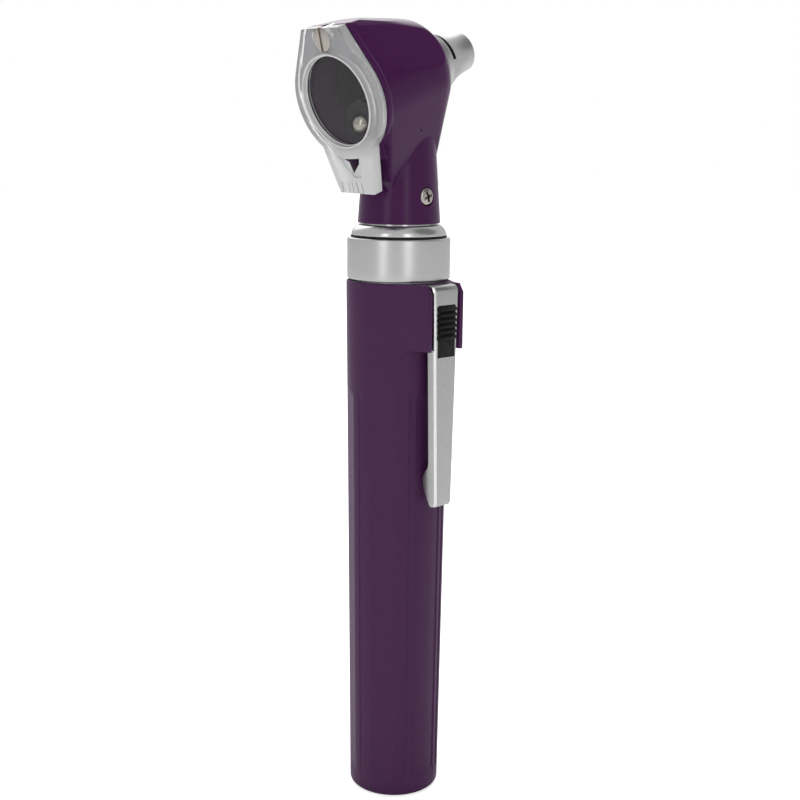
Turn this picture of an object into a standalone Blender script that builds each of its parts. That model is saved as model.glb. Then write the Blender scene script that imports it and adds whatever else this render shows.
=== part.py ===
"""Pocket otoscope: battery handle, twist-on head, swing-away magnifier and speculum holder.

Frame: metres, +Z up along the handle.  The origin is the centre of the handle's flat base.
-Y is the examiner's side (magnifier), +Y the patient's side (speculum), +X the pocket clip.
The head has its own tilted frame: x across, y along the line of sight, z up the magnifier.
"""

import math

import bmesh
import bpy
from mathutils import Matrix, Vector

MM = 0.001
GAP = 0.3 * MM                      # clearance between separate pieces

# Handle ------------------------------------------------------------------------------------
HANDLE_TOP = 104.6 * MM
HANDLE_R_FOOT = 9.05 * MM
HANDLE_R_TOP = 10.15 * MM
BASE_FILLET = 1.1 * MM
BASE_WALL = 1.6 * MM
BATTERY_R = 7.1 * MM
BORE_R = BATTERY_R + GAP
RELIEF_BOTTOM = 3.2 * MM            # long shallow flats and channels start here
RELIEF_TOP = 83.4 * MM              # and end here
CHANNEL_DEEP = 0.40 * MM            # channel under the clip
CHANNEL_SHALLOW = 0.20 * MM
FRONT_LINE_DEPTH = 0.12 * MM
COLLAR_SOCKET_R = 8.9 * MM
COLLAR_SOCKET_Z = 102.2 * MM

# Collar and ferrule --------------------------------------------------------------------------
COLLAR_R = 10.0 * MM
COLLAR_BOTTOM = 104.9 * MM
COLLAR_TOP = 112.9 * MM
COLLAR_BORE_R = 7.95 * MM
FERRULE_R = 9.15 * MM
FERRULE_BOTTOM = COLLAR_TOP + GAP
FERRULE_TOP = 115.3 * MM
FERRULE_BORE_R = 5.0 * MM

# Pocket clip and switch --------------------------------------------------------------------
CLIP_FACE_X = 13.15 * MM
CLIP_ROOT_BACK_X = 10.85 * MM
CLIP_ARM_BACK_X = 11.2 * MM
CLIP_TOP = 104.5 * MM
CLIP_BOTTOM = 61.5 * MM
CLIP_FLEX_Z = 89.5 * MM             # the arm bends about this line
CLIP_FLEX_X = 12.2 * MM
CLIP_HALF_WIDTH_LOW = 2.4 * MM      # at CLIP_WIDTH_Z
CLIP_WIDTH_Z = 64.0 * MM
CLIP_WIDTH_SLOPE = 0.0264
BOSS_FLOOR_X = CLIP_ROOT_BACK_X - GAP
BOSS_BOTTOM = 92.1 * MM
CHEEK_FACE_X = 13.0 * MM
CHEEK_INNER_Y = 3.75 * MM
CHEEK_OUTER_Y = 4.7 * MM
BOSS_BLEND_ANGLE = math.radians(50)
SLOT_HALF_WIDTH = 2.35 * MM
SLOT_BOTTOM = 90.85 * MM
SLOT_TOP = 100.8 * MM
SWITCH_TRAVEL = 3.0 * MM
BUTTON_BOTTOM = 94.15 * MM
BUTTON_TEETH = 6

# Batteries -----------------------------------------------------------------------------------
SPRING_TOP = 5.4 * MM
BATTERY_BODY = 49.2 * MM
BATTERY_NUB = 1.3 * MM
BATTERY_NUB_R = 2.75 * MM

# Head ------------------------------------------------------------------------------------------
SIGHT_TILT = math.radians(19)       # line of sight rises towards the patient
SIGHT_HEIGHT = 143.4 * MM           # where it crosses the handle's axis
NECK_BOTTOM = FERRULE_TOP + GAP
NECK_R_BOTTOM = 8.0 * MM
NECK_R_TOP = 6.75 * MM
NECK_TOP = 133.0 * MM
NECK_BORE_R = 6.6 * MM
DOME_R = 10.2 * MM
DOME_CENTER = 0.3 * MM              # along the line of sight
DOME_TAPER = [(0.3 * MM, 10.2 * MM), (2.0 * MM, 10.0 * MM), (3.2 * MM, 9.6 * MM),
              (5.5 * MM, 7.9 * MM), (8.3 * MM, 5.8 * MM)]
FLANGE_FRONT = -14.7 * MM           # along the line of sight, from the handle's axis
FLANGE_BACK = -13.1 * MM
FLANGE_R = 10.9 * MM
SHOULDER_FACET = 9.35 * MM          # flat upper side facets, from the line of sight
CAVITY_R = 8.6 * MM
REAR_FLAT = 8.3 * MM
REAR_HOLE_R = 5.3 * MM
NECK_SCREW_Z = 120.8 * MM

# Magnifier plate -----------------------------------------------------------------------------
PLATE_FRONT = -17.1 * MM
PLATE_BACK = -15.0 * MM
PLATE_R = 10.75 * MM
PLATE_TOP = 13.35 * MM
PLATE_TOP_HALF = 4.75 * MM
PLATE_FOOT_TOP = -8.8 * MM
PLATE_FOOT_TOP_HALF = 6.5 * MM
PLATE_FOOT_BOTTOM = -17.5 * MM
PLATE_FOOT_HALF = 4.6 * MM
PLATE_REST_SWING = math.radians(0.9)
PIVOT_HEIGHT = 11.3 * MM
WINDOW_R = 8.15 * MM
LENS_RING_R = 8.6 * MM
LENS_RING_FRONT = -17.4 * MM

# Speculum holder -----------------------------------------------------------------------------
HOLDER_BASE = REAR_FLAT + GAP
HOLDER_TIP = 17.2 * MM
HOLDER_TIP_R = 3.85 * MM
HOLDER_BORE_R = 3.0 * MM
HOLDER_SLOT_Y = 9.8 * MM
HOLDER_DROP = -0.45 * MM            # its axis runs a little below the lens centre


# Helpers ---------------------------------------------------------------------------------------
def clear_scene():
    for obj in list(bpy.data.objects):
        bpy.data.objects.remove(obj, do_unlink=True)


def material(name, color, roughness, metallic=0.0, transmission=0.0):
    """A plain Principled material in the part's own colour."""
    mat = bpy.data.materials.get(name) or bpy.data.materials.new(name)
    mat.use_nodes = True
    shader = mat.node_tree.nodes["Principled BSDF"]
    shader.inputs["Base Color"].default_value = (*color, 1.0)
    shader.inputs["Roughness"].default_value = roughness
    shader.inputs["Metallic"].default_value = metallic
    shader.inputs["Transmission Weight"].default_value = transmission
    mat.diffuse_color = (*color, 1.0)
    return mat


def empty(name, location=(0, 0, 0), rotation=(0, 0, 0), parent=None):
    """A joint axis or reference frame."""
    obj = bpy.data.objects.new(name, None)
    bpy.context.scene.collection.objects.link(obj)
    obj.empty_display_size = 5 * MM
    obj.parent = parent
    obj.location = location
    obj.rotation_euler = rotation
    return obj


def mesh_from(bm, name):
    bmesh.ops.recalc_face_normals(bm, faces=bm.faces)
    mesh = bpy.data.meshes.new(name)
    bm.to_mesh(mesh)
    bm.free()
    return mesh


def piece(name, mesh, mat, parent=None, location=(0, 0, 0), rotation=(0, 0, 0), sharp=30):
    """Put a finished mesh in the scene as one named sub-part."""
    obj = bpy.data.objects.new(name, mesh)
    bpy.context.scene.collection.objects.link(obj)
    if mat:
        mesh.materials.append(mat)
    mesh.shade_smooth()
    mesh.set_sharp_from_angle(angle=math.radians(sharp))
    obj.parent = parent
    obj.location = location
    obj.rotation_euler = rotation
    return obj


def boolean(target, tool, operation="DIFFERENCE"):
    """Cut the target with a tool, or join the tool to it; the tool itself is left out."""
    tool.hide_render = True
    tool.display_type = "WIRE"
    modifier = target.modifiers.new(f"{operation.lower()}_{tool.name}", "BOOLEAN")
    modifier.operation = operation
    modifier.solver = "EXACT"
    modifier.object = tool


def turned(name, profile, segments=48):
    """Turn (radius, height) points about Z; a profile that never touches Z makes a ring."""
    bm = bmesh.new()
    verts = [bm.verts.new((radius, 0, height)) for radius, height in profile]
    edges = [bm.edges.new(pair) for pair in zip(verts, verts[1:])]
    if min(radius for radius, _ in profile) > 0:
        edges.append(bm.edges.new((verts[-1], verts[0])))
    bmesh.ops.spin(bm, geom=verts + edges, cent=(0, 0, 0), axis=(0, 0, 1),
                   angle=math.tau, steps=segments, use_merge=True)
    bmesh.ops.remove_doubles(bm, verts=bm.verts, dist=1e-7)
    return mesh_from(bm, name)


def prism(name, outline, bottom, top):
    """Extrude an outline of (x, y) points along Z."""
    bm = bmesh.new()
    face = bm.faces.new([bm.verts.new((x, y, bottom)) for x, y in outline])
    extruded = bmesh.ops.extrude_face_region(bm, geom=[face])["geom"]
    moved = [item for item in extruded if isinstance(item, bmesh.types.BMVert)]
    bmesh.ops.translate(bm, verts=moved, vec=(0, 0, top - bottom))
    return mesh_from(bm, name)


def box(name, low, high):
    """A box between two corners."""
    outline = [(low[0], low[1]), (high[0], low[1]), (high[0], high[1]), (low[0], high[1])]
    return prism(name, outline, low[2], high[2])


def rod(name, radius, bottom, top, segments=32):
    return turned(name, [(0, bottom), (radius, bottom), (radius, top), (0, top)], segments)


def arc(center, radius, start, end, steps):
    """Points on a circle from one angle to another, in degrees, both ends included."""
    angles = [math.radians(start + (end - start) * i / steps) for i in range(steps + 1)]
    return [(center[0] + radius * math.cos(a), center[1] + radius * math.sin(a))
            for a in angles]


def coil(name, radius, wire, bottom, top, turns, steps=16, sides=6):
    """A compression spring: a wire swept along a helix, with flat-laid first and last turns."""
    bm = bmesh.new()
    rings = []
    for i in range(turns * steps + 1):
        share = i / (turns * steps)
        angle = math.tau * turns * share
        lift = bottom + wire + (top - bottom - 2 * wire) * share
        outward = Vector((math.cos(angle), math.sin(angle), 0))
        center = outward * radius + Vector((0, 0, lift))
        rings.append([bm.verts.new(center + outward * (wire * math.cos(side))
                                   + Vector((0, 0, wire * math.sin(side))))
                      for side in (math.tau * k / sides for k in range(sides))])
    for lower, upper in zip(rings, rings[1:]):
        for k in range(sides):
            bm.faces.new((lower[k], lower[k - 1], upper[k - 1], upper[k]))
    bm.faces.new(rings[0])
    bm.faces.new(rings[-1])
    return mesh_from(bm, name)


# Handle group ----------------------------------------------------------------------------------
def handle_radius(height):
    """The handle's gentle taper."""
    return HANDLE_R_FOOT + (HANDLE_R_TOP - HANDLE_R_FOOT) * height / HANDLE_TOP


def relief_depth(angle, radius):
    """Depth of the long reliefs at an angle from the clip's plane, in degrees, 0 to 90."""
    flat_center, flat_half = 60.5, 16.0
    if angle <= 20.7:
        return CHANNEL_DEEP
    if angle <= 30.3:
        return CHANNEL_SHALLOW
    if abs(angle - flat_center) < flat_half:
        chord = math.cos(math.radians(flat_half)) / math.cos(math.radians(angle - flat_center))
        return radius * (1 - chord)
    if angle >= 86.7:
        return FRONT_LINE_DEPTH
    return 0.0


def handle_section(height, radius, relief):
    """One outline of the handle; relief runs from 0, round, to 1, full flats and channels."""
    quarter = [0, 7, 14, 20.6, 21.4, 26, 30.2, 31.0, 38, 44.5, 52.5, 60.5, 68.5, 76.5, 81.5,
               86.1, 86.8, 90]
    angles = sorted({(side + sign * a) % 360 for a in quarter for side in (0, 180)
                     for sign in (1, -1)})
    points = []
    for angle in angles:
        folded = angle % 180
        folded = min(folded, 180 - folded)
        here = radius - relief * relief_depth(folded, radius)
        points.append((here * math.cos(math.radians(angle)),
                       here * math.sin(math.radians(angle)), height))
    return points


def handle_shell_mesh():
    """The moulded handle: tapered outside, battery bore inside, closed flat base."""
    fillet = arc((HANDLE_R_FOOT - BASE_FILLET, BASE_FILLET), BASE_FILLET, -90, 0, 5)
    sections = [handle_section(height, radius, 0) for radius, height in fillet]
    fade = 0.8 * MM
    for height, relief in ((RELIEF_BOTTOM, 0), (RELIEF_BOTTOM + fade, 1),
                           (RELIEF_TOP - fade, 1), (RELIEF_TOP, 0), (HANDLE_TOP - GAP, 0)):
        sections.append(handle_section(height, handle_radius(height), relief))
    sections.append(handle_section(HANDLE_TOP, HANDLE_R_TOP - GAP, 0))
    for radius, height in ((COLLAR_SOCKET_R, HANDLE_TOP), (COLLAR_SOCKET_R, COLLAR_SOCKET_Z),
                           (BORE_R, COLLAR_SOCKET_Z), (BORE_R, BASE_WALL)):
        sections.append(handle_section(height, radius, 0))
    bm = bmesh.new()
    rings = [[bm.verts.new(point) for point in section] for section in sections]
    for lower, upper in zip(rings, rings[1:]):
        for k in range(len(lower)):
            bm.faces.new((lower[k - 1], lower[k], upper[k], upper[k - 1]))
    bm.faces.new(rings[0])
    bm.faces.new(rings[-1])
    return mesh_from(bm, "handle_shell")


def boss_outline():
    """The switch boss seen from above: two straight cheeks that flare into the round handle."""
    radius = HANDLE_R_TOP - 0.2 * MM
    end = Vector((radius * math.cos(BOSS_BLEND_ANGLE), radius * math.sin(BOSS_BLEND_ANGLE)))
    start = Vector((CHEEK_FACE_X, CHEEK_OUTER_Y))
    middle = Vector((10.1 * MM, CHEEK_OUTER_Y + 0.05 * MM))
    flare = []
    for i in range(9):
        t = i / 8
        flare.append(start * (1 - t) ** 2 + middle * 2 * t * (1 - t) + end * t ** 2)
    side = [(point.x, point.y) for point in flare]
    blend = math.degrees(BOSS_BLEND_ANGLE)
    inner = arc((0, 0), 9.3 * MM, blend, -blend, 16)
    return side + inner + [(x, -y) for x, y in reversed(side)]


def make_handle(plastic):
    shell = piece("handle_shell", handle_shell_mesh(), plastic)
    boss = piece("boss_form", prism("boss_form", boss_outline(), BOSS_BOTTOM,
                                    HANDLE_TOP - 0.05 * MM), None)
    boolean(shell, boss, "UNION")
    channel = box("clip_channel", (BOSS_FLOOR_X, -CHEEK_INNER_Y, BOSS_BOTTOM - MM),
                  (CHEEK_FACE_X + MM, CHEEK_INNER_Y, HANDLE_TOP + MM))
    boolean(shell, piece("clip_channel", channel, None))
    chamfer = prism("cheek_chamfer", [(12.0 * MM, -HANDLE_TOP - MM), (12.0 * MM, -HANDLE_TOP),
                                      (CHEEK_FACE_X, -103.0 * MM), (14.0 * MM, -103.0 * MM),
                                      (14.0 * MM, -HANDLE_TOP - MM)], -6 * MM, 6 * MM)
    boolean(shell, piece("cheek_chamfer", chamfer, None, rotation=(-math.pi / 2, 0, 0)))
    window = box("switch_window", (6.0 * MM, -2.2 * MM, 91.5 * MM),
                 (11.5 * MM, 2.2 * MM, 100.9 * MM))
    boolean(shell, piece("switch_window", window, None))
    strip_groove = box("strip_groove", (6.0 * MM, -1.5 * MM, BASE_WALL),
                       (7.95 * MM, 1.5 * MM, 95 * MM))
    boolean(shell, piece("strip_groove", strip_groove, None))


def make_collar(satin):
    bevel = 0.35 * MM
    spigot_r = COLLAR_SOCKET_R - GAP
    profile = [
        (COLLAR_BORE_R, COLLAR_TOP), (COLLAR_R - bevel, COLLAR_TOP),
        (COLLAR_R, COLLAR_TOP - bevel), (COLLAR_R, COLLAR_BOTTOM + bevel),
        (COLLAR_R - bevel, COLLAR_BOTTOM), (spigot_r, COLLAR_BOTTOM),
        (spigot_r, COLLAR_SOCKET_Z + GAP), (BORE_R + 0.1 * MM, COLLAR_SOCKET_Z + GAP),
        (BORE_R + 0.1 * MM, COLLAR_BOTTOM + MM), (COLLAR_BORE_R, COLLAR_BOTTOM + 1.5 * MM),
    ]
    piece("neck_collar", turned("neck_collar", profile, 56), satin)


def make_power_train(brass, steel, wrap):
    """Spring, contacts and two cells in line."""
    piece("base_contact", turned("base_contact", [
        (0, 0), (6.4 * MM, 0), (6.4 * MM, 0.3 * MM), (0, 0.3 * MM)], 32), brass,
        location=(0, 0, BASE_WALL + GAP))
    piece("battery_spring", coil("battery_spring", 4.6 * MM, 0.35 * MM, BASE_WALL + 3 * GAP,
                                 SPRING_TOP, 3), steel)
    strip = box("contact_strip", (7.4 * MM, -1.2 * MM, BASE_WALL + GAP),
                (7.65 * MM, 1.2 * MM, 94.5 * MM))
    piece("contact_strip", strip, brass)
    edge = 0.5 * MM
    cell = [(0, 0), (BATTERY_R - edge, 0), (BATTERY_R, edge), (BATTERY_R, BATTERY_BODY - edge),
            (BATTERY_R - edge, BATTERY_BODY), (BATTERY_NUB_R, BATTERY_BODY),
            (BATTERY_NUB_R, BATTERY_BODY + BATTERY_NUB), (0, BATTERY_BODY + BATTERY_NUB)]
    pitch = BATTERY_BODY + BATTERY_NUB + GAP
    for index, name in enumerate(("battery_lower", "battery_upper")):
        piece(name, turned(name, cell, 28), wrap,
              location=(0, 0, SPRING_TOP + GAP + index * pitch))


def clip_half_width(height):
    """The clip narrows towards its foot."""
    return CLIP_HALF_WIDTH_LOW + (height - CLIP_WIDTH_Z) * CLIP_WIDTH_SLOPE


def clip_mesh(name, profile):
    """A side profile of (x, z) points given the clip's tapering width and chamfered face."""
    bm = bmesh.new()
    sides = []
    for sign in (-1, 1):
        sides.append([bm.verts.new((x, sign * clip_half_width(z), z)) for x, z in profile])
    bm.faces.new(sides[0])
    bm.faces.new(list(reversed(sides[1])))
    for k in range(len(profile)):
        bm.faces.new((sides[0][k - 1], sides[1][k - 1], sides[1][k], sides[0][k]))
    bmesh.ops.recalc_face_normals(bm, faces=bm.faces)
    face_x = CLIP_FACE_X - 0.02 * MM
    outer = [edge for side in sides for edge in bm.edges
             if all(v in side and v.co.x > face_x for v in edge.verts)]
    bmesh.ops.bevel(bm, geom=outer, offset=0.5 * MM, segments=1, affect="EDGES")
    return mesh_from(bm, name)


def make_clip(satin, flex):
    """One sprung die-casting, split where its arm flexes."""
    crown = arc((CLIP_FACE_X - 1.0 * MM, CLIP_TOP - 1.0 * MM), 1.0 * MM, 15, 90, 4)
    root_bottom = CLIP_FLEX_Z + GAP / 2
    root = [(CLIP_ARM_BACK_X, root_bottom), (CLIP_FACE_X, root_bottom),
            (CLIP_FACE_X, CLIP_TOP - MM), *crown, (CLIP_ROOT_BACK_X, CLIP_TOP),
            (CLIP_ROOT_BACK_X, BOSS_BOTTOM + 0.4 * MM), (CLIP_ARM_BACK_X, BOSS_BOTTOM - GAP)]
    clip_root = piece("clip_root", clip_mesh("clip_root", root), satin)
    slot = box("clip_slot", (10 * MM, -SLOT_HALF_WIDTH, SLOT_BOTTOM),
               (14 * MM, SLOT_HALF_WIDTH, SLOT_TOP))
    boolean(clip_root, piece("clip_slot", slot, None))

    arm_top = CLIP_FLEX_Z - GAP / 2
    toe = arc((12.0 * MM, CLIP_BOTTOM + 1.1 * MM), 1.1 * MM, -150, -20, 6)
    foot = [(CLIP_ARM_BACK_X, 69.6 * MM), (11.0 * MM, 69.1 * MM), (10.0 * MM, 67.9 * MM),
            (9.64 * MM, 67.0 * MM), (9.6 * MM, 66.3 * MM), (10.0 * MM, 64.7 * MM),
            (10.75 * MM, 63.0 * MM)]
    arm = [(CLIP_FACE_X, arm_top), (CLIP_ARM_BACK_X, arm_top), *foot, *toe,
           (CLIP_FACE_X, CLIP_BOTTOM + 1.9 * MM)]
    mesh = clip_mesh("clip_arm", arm)
    mesh.transform(Matrix.Translation(-flex.location))
    piece("clip_arm", mesh, satin, parent=flex)


def make_switch(black, brass, slide):
    """Fixed track in the clip's slot; ribbed button and sliding contact on the slide."""
    track_half = SLOT_HALF_WIDTH - GAP
    track = piece("switch_track", box("switch_track",
                  (CLIP_ROOT_BACK_X, -track_half, SLOT_BOTTOM + GAP),
                  (12.85 * MM, track_half, SLOT_TOP - GAP)), black)
    stem_half, stem_low, stem_high = 0.6 * MM, 96.2 * MM, 98.6 * MM
    stem_way = box("stem_way", (10 * MM, -stem_half - GAP, stem_low - SWITCH_TRAVEL - GAP),
                   (14 * MM, stem_half + GAP, stem_high + GAP))
    boolean(track, piece("stem_way", stem_way, None))

    button_top = SLOT_TOP - GAP
    pitch = (button_top - BUTTON_BOTTOM) / BUTTON_TEETH
    base_x, valley_x, tip_x = 13.15 * MM, 13.3 * MM, 13.8 * MM
    profile = [(base_x, button_top), (base_x, BUTTON_BOTTOM)]
    for tooth in range(BUTTON_TEETH):
        low = BUTTON_BOTTOM + tooth * pitch
        profile += [(valley_x, low), (tip_x, low + 0.3 * pitch), (tip_x, low + 0.6 * pitch)]
    profile.append((valley_x, button_top))
    outline = [(x - slide.location.x, -(z - slide.location.z)) for x, z in profile]
    button = piece("switch_button", prism("switch_button", outline, -track_half, track_half),
                   black, parent=slide, rotation=(-math.pi / 2, 0, 0))
    stem = box("button_stem", (10.5 * MM, -stem_half, stem_low), (13.2 * MM, stem_half, stem_high))
    stem.transform(Matrix.Translation(-slide.location))
    boolean(button, piece("button_stem", stem, None, parent=slide), "UNION")
    contact = box("sliding_contact", (7.95 * MM, -1.9 * MM, 95.0 * MM),
                  (10.2 * MM, 1.9 * MM, 100.4 * MM))
    contact.transform(Matrix.Translation(-slide.location))
    piece("sliding_contact", contact, brass, parent=slide)


# Head group -------------------------------------------------------------------------------------
def make_ferrule(chrome, head):
    """Polished ring under the head, with a spigot down into the collar and up into the neck."""
    dome = []
    for i in range(6):
        t = i / 5
        dome.append((FERRULE_R - 1.15 * MM * t ** 2.2,
                     FERRULE_BOTTOM + (FERRULE_TOP - FERRULE_BOTTOM) * t ** 0.8))
    lower_r, upper_r = COLLAR_BORE_R - GAP, NECK_BORE_R - GAP
    profile = [(lower_r, 108.2 * MM), (lower_r, FERRULE_BOTTOM), *dome, (upper_r, FERRULE_TOP),
               (upper_r, 123.6 * MM), (FERRULE_BORE_R, 123.6 * MM), (FERRULE_BORE_R, 113.6 * MM),
               (6.3 * MM, 113.2 * MM), (6.3 * MM, 108.2 * MM)]
    ring = piece("base_ferrule", turned("base_ferrule", profile, 56), chrome, parent=head)
    screw_way = rod("ferrule_screw_way", 1.2 * MM, 4 * MM, 8 * MM, 24)
    boolean(ring, piece("ferrule_screw_way", screw_way, None, parent=head,
                        location=(0, 0, NECK_SCREW_Z), rotation=(0, math.pi / 2, 0)))


def make_lamp(black, brass, glass, steel, head, plunger):
    """Insulated holder in the neck with a sprung centre contact, the lamp base and its bulb."""
    holder = [(6.0 * MM, 108.6 * MM), (6.0 * MM, 112.8 * MM), (4.7 * MM, 113.2 * MM),
              (4.7 * MM, 124.0 * MM), (2.9 * MM, 124.0 * MM), (2.9 * MM, 113.6 * MM),
              (1.5 * MM, 113.6 * MM), (1.5 * MM, 112.6 * MM), (2.9 * MM, 112.6 * MM),
              (2.9 * MM, 108.6 * MM)]
    piece("lamp_holder", turned("lamp_holder", holder, 32), black, parent=head)
    tip = SPRING_TOP + GAP + 2 * (BATTERY_BODY + BATTERY_NUB + GAP)
    pin = [(0, tip), (0.8 * MM, tip), (1.2 * MM, tip + 0.4 * MM), (1.2 * MM, 109.0 * MM),
           (2.5 * MM, 109.0 * MM), (2.5 * MM, 109.9 * MM), (0.9 * MM, 109.9 * MM),
           (0.9 * MM, 114.0 * MM), (0, 114.0 * MM)]
    pin = [(radius, height - plunger.location.z) for radius, height in pin]
    piece("contact_plunger", turned("contact_plunger", pin, 24), brass, parent=plunger)
    piece("contact_spring", coil("contact_spring", 1.85 * MM, 0.18 * MM, 110.2 * MM,
                                 112.3 * MM, 3, 12, 5), steel, parent=head)
    base = [(0, 115.1 * MM), (2.6 * MM, 115.1 * MM), (2.6 * MM, 121.6 * MM),
            (2.4 * MM, 122.0 * MM), (2.4 * MM, 123.2 * MM), (0, 123.2 * MM)]
    piece("lamp_base", turned("lamp_base", base, 32), brass, parent=head)
    bulb = [(0, 123.5 * MM), (2.1 * MM, 123.5 * MM), (2.1 * MM, 126.6 * MM)]
    bulb += [(2.1 * MM * math.cos(a), 126.6 * MM + 1.9 * MM * math.sin(a))
             for a in (math.radians(d) for d in (20, 40, 60, 75))]
    bulb.append((0, 128.5 * MM))
    piece("lamp_bulb", turned("lamp_bulb", bulb, 24), glass, parent=head)


def shield_outline(radius, top, top_half, arc_bottom=-58):
    """Flat top, straight shoulders tangent to a circle, and the circle's arc below them."""
    corner = Vector((top_half, top))
    reach = corner.length
    tangent = math.degrees(corner.to_2d().angle_signed(Vector((1, 0)))
                           - math.acos(radius / reach))
    right = arc((0, 0), radius, arc_bottom, tangent, 20)
    return right + [(top_half, top), (-top_half, top)] + [(-x, y) for x, y in reversed(right)]


def dome_radius(along, radius, turn):
    """The rear dome is a sphere low down and tapers towards the nose over the sides and top."""
    taper = radius
    for (near, near_r), (far, far_r) in zip(DOME_TAPER, DOME_TAPER[1:]):
        if near < along <= far:
            taper = near_r + (far_r - near_r) * (along - near) / (far - near)
    if along > DOME_TAPER[-1][0]:
        taper = DOME_TAPER[-1][1] * radius / DOME_R
    share = min(1.0, max(0.0, (math.sin(turn) + 1.0) / 0.75))
    return radius + (min(radius, taper) - radius) * share


def head_form_mesh():
    """Solid form of the head: hull of the front shield, the rear dome and the tail's tips."""
    bm = bmesh.new()
    for x, z in shield_outline(FLANGE_R - 0.15 * MM, PLATE_TOP - 0.1 * MM, PLATE_TOP_HALF):
        bm.verts.new((x, FLANGE_BACK - 0.2 * MM, z))
    rings, around = 20, 48
    for i in range(1, rings):
        polar = math.pi * i / rings
        along = DOME_R * math.cos(polar) + DOME_CENTER
        for k in range(around):
            turn = math.tau * k / around
            radius = dome_radius(along, DOME_R * math.sin(polar), turn)
            bm.verts.new((radius * math.cos(turn), along, radius * math.sin(turn)))
    to_head = head_matrix().inverted()
    brow, tail, nape = (4.0, -12.5, 152.8), (4.4, -6.3, 121.6), ((4.5, 5.2, 127.5), (1, 6.9, 127.5))
    for x, y, z in (brow, tail, *nape):
        for sign in (-1, 1):
            bm.verts.new(to_head @ Vector((sign * x * MM, y * MM, z * MM)))
    bmesh.ops.convex_hull(bm, input=bm.verts)
    loose = [vert for vert in bm.verts if not vert.link_faces]
    bmesh.ops.delete(bm, geom=loose, context="VERTS")
    return mesh_from(bm, "head_shell")


def head_matrix():
    """World place of the head's own frame."""
    return Matrix.Translation((0, 0, SIGHT_HEIGHT)) @ Matrix.Rotation(SIGHT_TILT, 4, "X")


def across_sight(name, profile, segments, mat, parent, sharp=30):
    """A piece turned about the line of sight; heights run towards the patient."""
    return piece(name, turned(name, profile, segments), mat, parent=parent,
                 rotation=(-math.pi / 2, 0, 0), sharp=sharp)


def facing_slab(name, outline, front, back, mat, parent, location=(0, 0, 0)):
    """A flat piece across the line of sight; the outline is (across, up)."""
    return piece(name, prism(name, outline, -back, -front), mat, parent=parent,
                 location=location, rotation=(math.pi / 2, 0, 0))


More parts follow.
